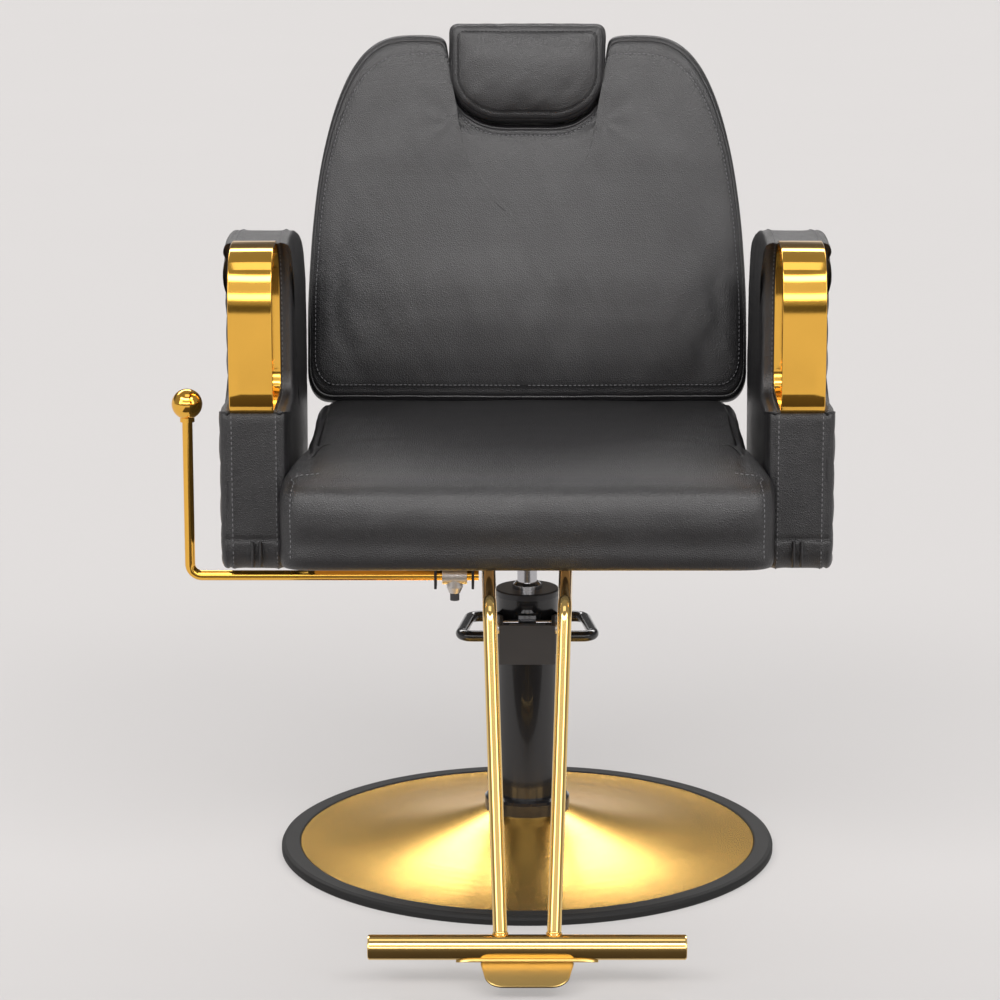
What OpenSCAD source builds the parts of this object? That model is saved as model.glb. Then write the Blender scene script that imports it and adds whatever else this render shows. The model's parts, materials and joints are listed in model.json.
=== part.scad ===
// Hydraulic barber chair: round base, swivelling pump with a foot pedal, lifting seat
// with padded arms, T-bar footrest, reclining back and sliding headrest.
// Millimetres, +Z up, the sitter faces -Y, origin on the floor under the column.

/* [Base] */
// Diameter over the rubber rim
base_d = 600; // [560:5:660]
// Radial width of the rubber rim that shows
rim_w = 23; // [18:1:30]
// Height of the rubber rim
rim_h = 12; // [11:1:16]
// Height that the dish climbs from rim to collar
dish_rise = 40; // [34:1:50]
// Sheet thickness of the dish
dish_t = 3; // [2:0.5:4]
// Diameter of the collar on the dish
collar_d = 103; // [99:1:112]
// Height of the collar
collar_h = 19; // [14:1:24]

/* [Pump] */
// Outer diameter of the column
column_d = 77; // [72:0.5:78]
// Wall of the column
column_wall = 5.5; // [4:0.5:6]
// Length of the column between shoulder and cap
column_l = 265; // [250:1:280]
// Thickness of the cap above the column
cap_t = 8; // [6:0.5:10]
// Diameter of the piston rod
rod_d = 24; // [20:0.5:26]
// Inner diameter of the pressure barrel
barrel_d = 52; // [46:0.5:54]
// Wall of the pressure barrel
barrel_wall = 4; // [3:0.5:5]
// Diameter of the swivel spindle
spindle_d = 60; // [52:0.5:60]
// Lift travel of the seat
lift_travel = 150; // [120:5:160]

/* [Pedal] */
// Thickness of the yoke plate
yoke_t = 4; // [3:0.5:5]
// Height of the yoke's front plate
yoke_h = 48; // [40:1:50]
// Diameter of the pedal tube
pedal_d = 11; // [9:0.5:12]
// Width of the pedal loop over the tube
pedal_w = 185; // [160:1:200]
// Distance of the far pedal bar behind the column axis
pedal_reach = 200; // [180:5:240]

/* [Seat] */
// Bare rod between the cap and the boss of the mounting plate
rod_show = 28; // [20:1:48]
// Thickness of the seat cushion at its edge
seat_t = 99; // [85:1:110]
// How far the front bolster runs past the seat on each side
bolster_over = 21; // [8:1:22]
// Width of the seat between the arms
seat_w = 524; // [500:2:560]
// Depth of the seat in front of the column axis
seat_front = 270; // [250:1:290]
// Depth of the seat behind the column axis
seat_rear = 212; // [200:1:214]
// Extra height of the crown in the middle
seat_crown = 13; // [6:1:20]
// Thickness of the seat and back boards
board_t = 10; // [9:1:12]

/* [Arms] */
// Gap between the seat and the inner face of each arm
arm_clear = 11; // [8:0.5:18]
// Thickness of an arm pad over its bulges
arm_t = 81; // [76:1:90]
// How far the arms hang below the seat cushion's underside
arm_drop = 17; // [12:1:22]
// Height of an arm pad
arm_h = 366; // [350:1:390]
// Distance of an arm's front in front of the column axis
arm_front = 210; // [200:1:214]
// Distance of an arm's rear behind the column axis
arm_rear = 211; // [200:1:225]
// Spacing of the quilting lines, measured along the arm
quilt_pitch = 72; // [60:1:90]
// Depth of the quilting
quilt_depth = 6; // [3:0.5:8]
// Width of a metal arm band
band_w = 54; // [48:1:58]
// Thickness of a metal arm band
band_t = 4; // [3:0.5:6]
// Depth of a band's loop, front to rear
band_depth = 154; // [140:1:160]
// Height of a band's loop
band_height = 174; // [160:1:180]

/* [Back] */
// Rearward lean of the back at rest
back_tilt = 12.8; // [8:0.2:16]
// Gap between the back and the inner face of each arm
back_clear = 3; // [2.5:0.5:15]
// Height of the back cushion over its lobes
back_h = 450; // [435:1:470]
// Thickness of the back cushion at its edge
back_t = 62; // [50:1:70]
// Depth of the rear cover
cover_t = 36; // [32:1:44]
// Width of the headrest
head_w = 190; // [170:1:192]
// Height of the headrest
head_h = 124; // [110:1:140]
// Gap round the headrest in the notch
head_gap = 4; // [3:0.5:8]
// Diameter of the headrest posts
post_d = 12; // [10:0.5:14]

/* [Recline] */
// Height of the recline hinge above the seat cushion's underside
hinge_rise = 26; // [20:1:32]
// Distance of the recline hinge behind the column axis
hinge_y = 235; // [232:1:240]
// Diameter of the hinge shaft
shaft_d = 16; // [12:0.5:18]
// Recline range
recline_deg = 40; // [30:1:45]
// Depth of the gas spring and of the lever's turning axis below the seat board
lever_drop = 34; // [33:0.5:36]
// Diameter of the gas spring's cylinder
gas_d = 22; // [18:0.5:24]
// Diameter of the gas spring's rod
gas_rod_d = 8; // [6:0.5:10]
// Diameter of the recline lever's rod
lever_d = 12; // [10:0.5:12.5]
// Distance of the lever's upright from the outer face of the arm
lever_clear = 43; // [30:1:55]
// Height of the lever's ball above its turning axis
lever_h = 206; // [180:1:230]
// Diameter of the lever's ball
ball_d = 36; // [30:1:42]

/* [Footrest] */
// Diameter of the footrest tubes
tube_d = 16; // [14:0.5:16]
// Length of the footrest bar
bar_l = 350; // [320:1:400]
// Diameter of the footrest bar
bar_d = 28; // [24:0.5:32]
// Distance of the footrest bar in front of the column axis
bar_y = 500; // [470:1:540]
// Height of the footrest bar's axis
bar_z = 46; // [44:0.5:60]

/* [Hidden] */

$fn = 64;
run_gap = 0.05;   // radial clearance of a running fit
soft_gap = 0.3;   // clearance beside a soft piece
weld_gap = 0.02;  // clearance in a welded or fixed joint
eps = 0.01;       // overshoot of a cut

// Levels, from the floor up
base_r = base_d / 2;
dish_r = base_r - rim_w;
ledge_z = rim_h - dish_t - 1;
collar_r = collar_d / 2;
dish_top = ledge_z + dish_rise + dish_t;
washer_t = 2;
shoulder_z = dish_top + washer_t;
column_r = column_d / 2;
column_top = shoulder_z + column_l;
cap_top = column_top + cap_t;
floor_t = 7;                       // closed foot of the column
barrel_z = shoulder_z + floor_t;
plug_h = 12;                       // part of the cap inside the column
rod_r = rod_d / 2;
spindle_r = spindle_d / 2;
spindle_z = 6;
ring_t = 1.8;
hub_z = spindle_z + 5.3;
hub_r = spindle_r + 8;
neck_r = spindle_r + 6;
bolt_pcd_r = (hub_r + collar_r) / 2 + 0.25;

// Seat frame levels, from the column up
frame_h = 20;
plate_t = 6;
boss_h = 20;
boss_z = cap_top + rod_show;
frame_z = boss_z + boss_h + plate_t;
board_z = frame_z + frame_h;
seat_z = board_z + board_t;
hinge_z = seat_z + hinge_rise;
lever_z = board_z - lever_drop;
ball_z = lever_z + lever_h;
arm_z = seat_z - arm_drop;
arm_top = arm_z + arm_h;

// Widths, from the seat outwards
bolster_w = seat_w + 2 * bolster_over;
arm_gap = seat_w + 2 * arm_clear;
back_w = arm_gap - 2 * back_clear;
lever_x = arm_gap / 2 + arm_t + lever_clear;
rail_x = 118;
rail_w = 25;
rail_front = -80;
rail_rear = hinge_y - 30;

// Pedal
pivot_y = -78;
pivot_z = column_top - 22;
pin_arm = 26;                      // pivot to plunger
pin_d = 10;
yoke_in = 29;                      // half width inside the yoke's box
yoke_front = pivot_y - 12;
yoke_side = column_r + 3;
loop_z = pivot_z - 58;
loop_near = 100;

// Gas spring and crank
gas_x = -85.5;
lever_y = -100;
half_swing = recline_deg / 2;
crank_drop = hinge_z - lever_z;
crank_r = crank_drop / cos(half_swing);
gas_pin_y = hinge_y + crank_drop * tan(half_swing);
gas_pin_r = 5;

// Back frame: local z runs up the back, local y runs to the rear
back_y = 180;
back_z = seat_z + seat_t + seat_crown - 2;
board_y = back_t;
strap_y = board_y + board_t;
guide_y = strap_y + 10;
strap_x = rail_x + 9;
notch_w = head_w / 2 + head_gap;
notch_z = back_h + 16 - head_h - head_gap;
post_x = 40;

// ---------- shared geometry ----------

function arc(c, r, a0, a1, n) =
    [for (i = [0 : n]) c + r * [cos(a0 + (a1 - a0) * i / n), sin(a0 + (a1 - a0) * i / n)]];

// A right half outline from bottom centre to top centre, closed by its mirror image
function mirrored(half) =
    concat(half, [for (i = [len(half) - 2 : -1 : 1]) [-half[i][0], half[i][1]]]);

function sgn_pow(v, p) = sign(v) * pow(abs(v), p);

// Skin over closed rings of equal length; both ends close with a fan, or meet each other
module loft(rings, closed = false) {
    n = len(rings[0]);
    k = len(rings);
    ones = [for (i = [0 : n - 1]) 1];
    near_cap = [for (i = [0 : n - 1]) [k * n, (i + 1) % n, i]];
    far_cap = [for (i = [0 : n - 1]) [k * n + 1, (k - 1) * n + i, (k - 1) * n + (i + 1) % n]];
    side = [for (j = [0 : k - (closed ? 1 : 2)], i = [0 : n - 1], h = [0, 1])
        let (a = j * n + i, b = j * n + (i + 1) % n,
             c = ((j + 1) % k) * n + i, d = ((j + 1) % k) * n + (i + 1) % n)
        h == 0 ? [a, b, d] : [a, d, c]];
    ends = closed ? [] : [ones * rings[0] / n, ones * rings[k - 1] / n];
    polyhedron(points = concat([for (r = rings) each r], ends),
               faces = closed ? side : concat(near_cap, side, far_cap));
}

// Round bar along X between two stations
module bar_x(r, x0, x1, y, z) {
    translate([x0, y, z]) rotate([0, 90, 0]) cylinder(r = r, h = x1 - x0);
}

// Plate parallel to the YZ plane, drawn as [y, z] points, from x0 to x0 + t
module side_plate(points, x0, t) {
    translate([x0, 0, 0]) rotate([90, 0, 90]) linear_extrude(t) polygon(points);
}

// Straight round bar between two points
module strut(a, b, r) {
    d = b - a;
    l = norm(d);
    translate(a) rotate([0, acos(d[2] / l), atan2(d[1], d[0])]) cylinder(r = r, h = l);
}

function unit(v) = v / norm(v);

// How far a bend of radius bend_r cuts back the two straights that meet at b
function cut_back(a, b, c, bend_r) = bend_r * tan(acos(unit(b - a) * unit(c - b)) / 2);

// Bend of radius bend_r where the line a-b turns into b-c, as [place, direction] stations
function bend(a, b, c, bend_r, steps) =
    let (u0 = unit(b - a), turn = acos(u0 * unit(c - b)),
         start = b - cut_back(a, b, c, bend_r) * u0,
         inward = cross(unit(cross(u0, c - b)), u0))
    [for (i = [0 : steps]) let (t = turn * i / steps)
        [start + bend_r * (sin(t) * u0 + (1 - cos(t)) * inward),
         cos(t) * u0 + sin(t) * inward]];

// Rings of a round tube over stations that lie in the plane with the normal up
function tube_rings(stations, up, r, sides) =
    [for (s = stations) let (across = cross(up, s[1]))
        [for (i = [0 : sides - 1])
            s[0] + r * (cos(360 * i / sides) * across + sin(360 * i / sides) * up)]];

module hex_bolt(r, head_h, l) {
    translate([0, 0, -head_h]) cylinder(r = r * 1.9, h = head_h, $fn = 6);
    cylinder(r = r, h = l);
}

module back_frame() {
    translate([0, back_y, back_z]) rotate([-back_tilt, 0, 0]) children();
}

// A point of the chair seen in the back frame, as [y, z]
function in_back(y, z) =
    [(y - back_y) * cos(back_tilt) - (z - back_z) * sin(back_tilt),
     (y - back_y) * sin(back_tilt) + (z - back_z) * cos(back_tilt)];

// ---------- base ----------

function dish_z(r) =
    ledge_z + dish_rise * pow(max(0, (dish_r - max(r, collar_r)) / (dish_r - collar_r)), 2);

module base_rim() {
    edge = 3;
    color("#202020")
    rotate_extrude($fn = 180)
    polygon([[dish_r - edge, 0], [base_r - 2, 0], [base_r, 2], [base_r, rim_h - 5],
             [base_r - 1.5, rim_h - 2], [base_r - 5, rim_h], [dish_r + 2, rim_h],
             [dish_r + 0.3, rim_h - 1], [dish_r + 0.3, ledge_z], [dish_r - edge, ledge_z]]);
}

module base_dish() {
    steps = 18;
    stations = [for (i = [0 : steps]) dish_r + (collar_r - dish_r) * i / steps];
    under = concat([for (r = stations) [r, dish_z(r)]], [[neck_r + 0.3, dish_z(0)]]);
    over = [for (i = [len(under) - 1 : -1 : 0]) under[i] + [0, dish_t]];
    color("#d9a441")
    difference() {
        rotate_extrude($fn = 180) polygon(concat(under, over));
        hub_bolt_places() cylinder(r = 3.2, h = 3 * dish_rise, center = true);
    }
}

module hub_bolt_places() {
    for (a = [45 : 90 : 315])
        rotate(a) translate([bolt_pcd_r, 0, dish_z(0)]) children();
}

module base_hub() {
    flange_t = 4;
    color("#3a3a3c")
    difference() {
        union() {
            translate([0, 0, hub_z]) cylinder(r = hub_r, h = dish_z(0) - hub_z);
            translate([0, 0, dish_z(0) - flange_t]) cylinder(r = collar_r - 0.5, h = flange_t);
            translate([0, 0, dish_z(0) - eps]) cylinder(r = neck_r, h = dish_t + eps);
        }
        cylinder(r = spindle_r + run_gap, h = 2 * dish_top);
        hub_bolt_places() cylinder(r = 3.2, h = 3 * flange_t, center = true);
    }
}

module hub_bolts() {
    color("#8c8c90")
    hub_bolt_places() translate([0, 0, -4]) hex_bolt(3, 4, dish_t + 14);
}

module base_collar() {
    bore = column_r + 1;
    color("#161616")
    difference() {
        translate([0, 0, dish_top]) rotate_extrude($fn = 96)
        polygon([[bore, 0], [collar_r, 0], [collar_r, collar_h - 5],
                 [collar_r - 3, collar_h - 2], [bore + 3, collar_h], [bore, collar_h]]);
        hub_bolt_places() translate([0, 0, dish_t - 1]) cylinder(r = 3 + run_gap, h = 12);
    }
}

module thrust_washer() {
    color("#c9a24a")
    translate([0, 0, dish_top]) difference() {
        cylinder(r = column_r - 0.5, h = washer_t);
        translate([0, 0, -1]) cylinder(r = spindle_r + 0.4, h = washer_t + 2);
    }
}

// ---------- pump ----------

module pump_cylinder() {
    color("#101012")
    difference() {
        union() {
            translate([0, 0, shoulder_z]) cylinder(r = column_r, h = column_l, $fn = 96);
            translate([0, 0, spindle_z]) cylinder(r = spindle_r, h = shoulder_z - spindle_z + eps);
        }
        translate([0, 0, barrel_z]) cylinder(r = column_r - column_wall, h = column_l);
        translate([0, 0, hub_z - 0.3 - ring_t - 0.1]) difference() {
            cylinder(r = spindle_r + 1, h = ring_t + 0.2);
            cylinder(r = spindle_r - 3, h = ring_t + 0.2);
        }
    }
}

module pump_barrel() {
    color("#7d7f82")
    translate([0, 0, barrel_z]) difference() {
        cylinder(r = barrel_d / 2 + barrel_wall, h = column_top - plug_h - barrel_z);
        translate([0, 0, -1]) cylinder(r = barrel_d / 2, h = column_l);
    }
}

gland_r = rod_r + 4;

module pump_cap() {
    color("#1c1c1e")
    difference() {
        union() {
            translate([0, 0, column_top]) cylinder(r = column_r, h = cap_t - 1.5, $fn = 96);
            translate([0, 0, cap_top - 1.5])
            cylinder(r1 = column_r, r2 = column_r - 1.5, h = 1.5, $fn = 96);
            translate([0, 0, column_top - plug_h])
            cylinder(r = column_r - column_wall - run_gap, h = plug_h + eps);
        }
        translate([0, 0, column_top - plug_h - 1]) cylinder(r = gland_r + run_gap, h = column_l);
    }
}

module rod_gland() {
    color("#c8cacc")
    difference() {
        union() {
            translate([0, 0, column_top - plug_h]) cylinder(r = gland_r, h = plug_h + cap_t);
            translate([0, 0, cap_top]) cylinder(r = gland_r + 2, h = 5);
            translate([0, 0, cap_top + 5 - eps])
            cylinder(r1 = gland_r + 0.5, r2 = rod_r + 1.5, h = 3);
        }
        translate([0, 0, column_top - plug_h - 1]) cylinder(r = rod_r + run_gap, h = column_l);
    }
}

module retaining_ring() {
    color("#8c8c90")
    translate([0, 0, hub_z - 0.3 - ring_t]) difference() {
        cylinder(r = spindle_r + 4, h = ring_t);
        translate([0, 0, -1]) cylinder(r = spindle_r - 2.9, h = ring_t + 2);
        translate([0, -3, -1]) cube([2 * spindle_r, 6, ring_t + 2]);
    }
}

module pump_block() {
    block_front = pivot_y - 6;
    block_top = pivot_z - 18;
    block_z = pivot_z - 42;
    ear_t = 7;
    half = yoke_in - 0.5;
    plunger_y = pivot_y + pin_arm;
    color("#141416")
    difference() {
        union() {
            translate([-half, block_front, block_z])
            cube([2 * half, -block_front, block_top - block_z]);
            for (side = [-1, 1])
                translate([side * (half - ear_t / 2) - ear_t / 2, 0, 0]) {
                    bar_x(6 + eps, 0, ear_t, pivot_y, pivot_z);
                    translate([0, block_front, block_top - eps])
                    cube([ear_t, 12, pivot_z - block_top]);
                }
        }
        cylinder(r = column_r + weld_gap, h = 2 * column_top, $fn = 96);
        bar_x(pin_d / 2 + run_gap, -column_d, column_d, pivot_y, pivot_z);
        translate([0, plunger_y, block_z + 3]) cylinder(r = 7 + run_gap, h = column_l);
    }
}

module lever_pin() {
    half = yoke_in + yoke_t;
    color("#b9bbbe") {
        bar_x(pin_d / 2, -half - 1.5, half + 1.5, pivot_y, pivot_z);
        for (side = [-1, 1])
            bar_x(pin_d / 2 + 2, side * (half + 1.5) - 1, side * (half + 1.5) + 1,
                  pivot_y, pivot_z);
    }
}

module plunger() {
    plunger_y = pivot_y + pin_arm;
    head_w2 = 10.5;
    color("#d4d6d8") {
        translate([0, plunger_y, pivot_z - 30]) cylinder(r = 7, h = 26);
        translate([-head_w2, plunger_y - 8, pivot_z - 6]) cube([2 * head_w2, 16, 12]);
        bar_x(3, -yoke_in - yoke_t, yoke_in + yoke_t, plunger_y, pivot_z);
    }
}

// ---------- pedal ----------

module pedal_yoke() {
    half = yoke_in + yoke_t;
    flare_y = pivot_y + pin_arm + 8;
    arm_y = flare_y + 22;
    yoke_top = pivot_z + 6;
    yoke_z = yoke_top - yoke_h;
    slot_r = 3.5;
    color("#2a2b2d")
    difference() {
        union() {
            translate([-half, yoke_front, yoke_z]) cube([2 * half, yoke_t, yoke_h]);
            for (side = [0, 1]) mirror([side, 0, 0]) {
                translate([yoke_in, yoke_front, yoke_z])
                cube([yoke_t, flare_y - yoke_front, yoke_h]);
                translate([0, 0, yoke_z]) linear_extrude(yoke_h)
                polygon([[yoke_in, flare_y - eps], [half, flare_y - eps],
                         [yoke_side + yoke_t, arm_y], [yoke_side, arm_y]]);
                side_plate([[arm_y - eps, yoke_z], [loop_near, loop_z - 7],
                            [loop_near, loop_z + 8], [20, yoke_top - 16],
                            [arm_y - eps, yoke_top]], yoke_side, yoke_t);
            }
        }
        bar_x(pin_d / 2 + run_gap, -column_d, column_d, pivot_y, pivot_z);
        for (dy = [0, 0.75, 1.5])
            bar_x(slot_r, -column_d, column_d, pivot_y + pin_arm + dy, pivot_z);
        bar_x(pedal_d / 2 + weld_gap, -pedal_w, pedal_w, loop_near, loop_z);
    }
}

module pedal_loop() {
    r = pedal_d / 2;
    half = pedal_w / 2 - r;
    near = [half, loop_near, loop_z];
    far = [half - 12, pedal_reach, loop_z];
    path = [near, far, [-far[0], far[1], loop_z], [-near[0], near[1], loop_z]];
    stations = [for (i = [0 : 3])
        each bend(path[(i + 3) % 4], path[i], path[(i + 1) % 4], 14, 6)];
    color("#0e0e10") loft(tube_rings(stations, [0, 0, 1], r, 16), closed = true);
}

// ---------- lifting rod ----------

piston_h = 25;
piston_z = barrel_z + 10;

module piston_rod() {
    color("#dfe1e3") {
        translate([0, 0, piston_z + piston_h])
        cylinder(r = rod_r, h = frame_z - piston_z - piston_h);
        translate([0, 0, barrel_z + 2]) cylinder(r = 8, h = piston_z + piston_h - barrel_z - 2 + eps);
    }
}

// The sleeve over the piston meets the cap's plug at full lift
module piston() {
    sleeve_h = column_top - plug_h - piston_z - piston_h - lift_travel - 0.3;
    color("#9a9ca0")
    translate([0, 0, piston_z]) difference() {
        union() {
            cylinder(r = barrel_d / 2 - run_gap, h = piston_h);
            translate([0, 0, piston_h - eps]) cylinder(r = gland_r + 4, h = sleeve_h + eps);
        }
        translate([0, 0, piston_h]) cylinder(r = rod_r + run_gap, h = sleeve_h + 1);
        translate([0, 0, -1]) cylinder(r = 8 + run_gap, h = piston_h + 2);
        translate([0, 0, piston_h / 2 - 3]) difference() {
            cylinder(r = barrel_d / 2 + 1, h = 6);
            cylinder(r = barrel_d / 2 - 4, h = 6);
        }
    }
}

module piston_seal() {
    color("#1a1a1a")
    translate([0, 0, piston_z + piston_h / 2 - 2.95]) difference() {
        cylinder(r = barrel_d / 2 - run_gap, h = 5.9);
        translate([0, 0, -1]) cylinder(r = barrel_d / 2 - 4 + run_gap, h = 8);
    }
}

// ---------- seat frame ----------

plate_x = 58;
plate_y = 70;
plate_bolt_x = 44;
bar_places = [-80, 34];
bar_depth = 22;

module mount_plate() {
    color("#1b1b1d")
    difference() {
        union() {
            translate([-plate_x, -plate_y - 12, frame_z - plate_t])
            cube([2 * plate_x, 2 * plate_y, plate_t]);
            translate([0, 0, boss_z])
            cylinder(r1 = rod_r + 7, r2 = rod_r + 14, h = boss_h + eps);
        }
        translate([0, 0, boss_z - 1]) cylinder(r = rod_r + run_gap, h = 2 * boss_h);
        plate_bolt_places() cylinder(r = 4.2, h = 4 * plate_t, center = true);
    }
}

module plate_bolt_places() {
    for (x = [-1, 1], y = bar_places)
        translate([x * plate_bolt_x / 2, y + bar_depth / 2, frame_z - plate_t]) children();
}

module plate_bolts() {
    color("#8c8c90")
    plate_bolt_places() hex_bolt(4, 4, plate_t + 14);
}

tube_r = tube_d / 2;
tube_top_x = 48;
tube_run_z = frame_z + frame_h / 2;

module cross_bars() {
    color("#202022")
    difference() {
        for (y = bar_places)
            translate([-rail_x, y, frame_z]) cube([2 * rail_x, bar_depth, frame_h]);
        plate_bolt_places() cylinder(r = 4 + run_gap, h = plate_t + 15);
        for (side = [0, 1]) mirror([side, 0, 0])
            strut(tube_start, kink, tube_r + run_gap);
    }
}

module seat_rails() {
    wall = 2.5;
    color("#202022")
    for (side = [0, 1]) mirror([side, 0, 0])
        translate([rail_x, rail_front, frame_z]) difference() {
            cube([rail_w, rail_rear - rail_front, frame_h]);
            translate([wall, -1, wall])
            cube([rail_w - 2 * wall, rail_rear - rail_front + 2, frame_h - 2 * wall]);
        }
}

module seat_board() {
    r = 20;
    side = seat_w / 2 - 10 - r;
    front = 80 - seat_front;
    rear = seat_rear - 7;
    color("#b08d5b")
    translate([0, 0, board_z]) linear_extrude(board_t) polygon(mirrored(concat(
        [[0, front]], arc([side, front + r], r, -90, 0, 6),
        arc([side, rear - r], r, 0, 90, 6), [[0, rear]])));
}

// ---------- cushions ----------

// Rings that shrink towards a core line: [share of the outline, height] per ring
function shrunk(outline, core_k, core_c, s) =
    [for (p = outline) [s * p[0] + (1 - s) * core_k * p[0], s * p[1] + (1 - s) * core_c]];

function seat_half() =
    let (b = bolster_w / 2, w = seat_w / 2, f = -seat_front, lip = f + 50, r = 24)
    concat([for (i = [0 : 4]) [i * (b - r) / 5, f - 5 * pow(1 - abs(2 * i / 5 - 1), 2) + 3]],
           arc([b - r, f + r], r, -90, 0, 4),
           [[b - 1, lip - 12], [b - 8, lip - 2], [w + 1, lip + 6]],
           [for (i = [0 : 4]) [w - 2 * sin(36 * i), lip + 20 + i * (seat_rear - lip - 46) / 4]],
           arc([w - 8 - r, seat_rear - r], r, 8, 90, 4),
           [for (i = [3 : -1 : 0]) [i * (w - 30 - r) / 4, seat_rear]]);

module seat_cushion() {
    slope = 7 / (seat_front + seat_rear);
    outline = mirrored(seat_half());
    rings = [[0.4, 0, 0], [0.965, 0, 0], [0.985, 4, 0], [0.99, 0.32 * seat_t, 0.3],
             [1, 0.6 * seat_t, 0.6], [0.995, 0.8 * seat_t, 0.8], [0.98, 0.92 * seat_t, 1],
             [0.95, 0.99 * seat_t, 1], [0.9, seat_t + 0.25 * seat_crown, 1],
             [0.75, seat_t + 0.6 * seat_crown, 1], [0.4, seat_t + seat_crown - 4, 1]];
    color("#26262a")
    loft([for (g = rings)
        [for (p = shrunk(outline, 0.8, 0, g[0])) [p[0], p[1], seat_z + g[1] + slope * p[1] * g[2]]]]);
}

// Back outline in the back frame, right half from bottom centre to the notch's centre
function back_half(inset = 0) =
    let (w = back_w / 2 - inset, h = back_h - inset, b = inset, side_z = 84,
         lobe_x = 139, nw = notch_w + inset, nz = notch_z - inset)
    concat([for (i = [0 : 3]) [i * (w - 25) / 4, b]],
           [for (a = [0 : 30 : 90]) [w - 25 + 25 * sin(a), b + (side_z - b) * (1 - cos(a))]],
           [for (a = [8 : 8 : 88])
               [lobe_x + (w - lobe_x) * pow(cos(a), 2 / 2.8), side_z + (h - side_z) * sin(a)]],
           [[lobe_x - 15, h], [nw + 7, h - 2], [nw + 1, h - 9]],
           [[nw - 5, h - 40], [nw - 11, nz + 38]],
           arc([nw - 43, nz + 30], 30, 0, -90, 4),
           [[(nw - 43) / 2, nz], [0, nz]]);

module back_cushion() {
    outline = mirrored(back_half());
    rings = [[0.3, back_t], [0.975, back_t], [0.99, back_t - 4], [1, back_t - 14],
             [0.993, 0.55 * back_t], [1, 0.32 * back_t], [0.99, 0.14 * back_t], [0.965, 3],
             [0.94, 1.5], [0.91, -1], [0.8, -7], [0.6, -11], [0.3, -14]];
    color("#26262a")
    back_frame()
    loft([for (g = rings) [for (p = shrunk(outline, 0.6, 200, g[0])) [p[0], g[1], p[1]]]]);
}

function head_half() =
    let (w = head_w / 2, z0 = back_h + 16 - head_h, z1 = back_h + 16, r = 30, t = 12)
    concat([for (i = [0 : 2]) [i * (w - 14 - r) / 3, z0]],
           arc([w - 14 - r, z0 + r], r, -90, 0, 5),
           [[w - 8, z0 + 60]],
           arc([w - t, z1 - t], t, 0, 90, 3),
           [for (i = [3 : -1 : 0]) [i * (w - t - 6) / 4, z1]]);

module headrest_pad() {
    outline = mirrored(head_half());
    z_mid = back_h + 16 - head_h / 2;
    rings = [[0.4, back_t], [0.96, back_t], [1, back_t - 6], [0.985, 0.5 * back_t],
             [1, 0.1 * back_t], [0.98, -5], [0.93, -10], [0.85, -12], [0.65, -18], [0.35, -20]];
    color("#242428")
    back_frame()
    loft([for (g = rings) [for (p = shrunk(outline, 0.4, z_mid, g[0])) [p[0], g[1], p[1]]]]);
}

// ---------- arms ----------

band_y = 66 - arm_front;
band_z = arm_top + 3 - band_height / 2;
band_step = 8;

// Outline of a band's loop grown outwards by d, at angle a, as [y, z]
function band_point(a, d) =
    [band_y + (band_depth / 2 + d) * sgn_pow(cos(a), 0.77),
     band_z + (band_height / 2 + d) * sgn_pow(sin(a), 0.77)];

// Side outline of an arm pad as [y, z]: toe, sole, heel, leaning rear, crest and the
// band's notch, whose corners lie on the band's own
function arm_outline() =
    let (toe_r = 28, heel_r = 34, toe = toe_r - arm_front, heel = arm_rear - 12 - heel_r,
         hip_z = arm_z + 202, crest_y = arm_rear - 80, crest_z = arm_top - 30,
         ridge = crest_y - band_y - 91, notch_foot = band_z - band_height / 2)
    concat(arc([toe, arm_z + toe_r], toe_r, 180, 270, 4),
           [for (i = [1 : 4]) [toe + i * (heel - toe) / 5, arm_z]],
           arc([heel, arm_z + heel_r], heel_r, 270, 360, 4),
           [for (i = [1 : 4])
               [arm_rear - 12 + 3 * i, arm_z + heel_r + i * (hip_z - arm_z - heel_r) / 4]],
           [for (a = [12 : 13 : 77])
               [crest_y + 80 * cos(a), hip_z + (crest_z - hip_z) * sin(a)]],
           [for (i = [1 : 4]) [crest_y - i * ridge / 4, crest_z + 2 + 27 * sin(22 * i)]],
           [for (a = [64 : -band_step : -96]) band_point(a, soft_gap)],
           [[5 - arm_front, notch_foot - 2], [-arm_front, notch_foot - 14]],
           [for (i = [1 : 3]) [-arm_front, notch_foot - 14 - i * 36]]);

function quilt(y, z) =
    quilt_depth * (1 - sqrt(abs(cos(180 * (y + z) / quilt_pitch) * cos(180 * (y - z) / quilt_pitch))));

module arm_pad(side) {
    x_in = arm_gap / 2;
    x_out = x_in + arm_t;
    outline = arm_outline();
    core = [20, arm_z + 147];
    face = [0.1, 0.22, 0.34, 0.46, 0.58, 0.69, 0.79, 0.88];
    ring = function (s) [for (p = outline) s * p + (1 - s) * core];
    rings = concat(
        [for (g = [[0.5, x_in], [0.93, x_in], [0.965, x_in + 1.5], [0.99, x_in + 5],
                   [1, x_in + 9], [1, x_out - 12], [0.99, x_out - 6], [0.96, x_out - 2.5]])
            [for (p = ring(g[0])) [g[1], p[0], p[1]]]],
        [for (i = [len(face) - 1 : -1 : 0])
            [for (p = ring(face[i])) [x_out - quilt(p[0], p[1]), p[0], p[1]]]]);
    mirror([side < 0 ? 1 : 0, 0, 0]) loft(rings);
}

module arm_pad_left() {
    color("#26262a") arm_pad(-1);
}

module arm_pad_right() {
    color("#26262a") arm_pad(1);
}

module arm_band(side) {
    x0 = side * (arm_gap / 2 + arm_t / 2 + 2) - band_w / 2;
    color("#e0a526")
    translate([x0, 0, 0]) rotate([90, 0, 90]) linear_extrude(band_w) difference() {
        polygon([for (a = [0 : band_step : 352]) band_point(a, 0)]);
        polygon([for (a = [0 : band_step : 352]) band_point(a, -band_t)]);
    }
}

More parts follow.
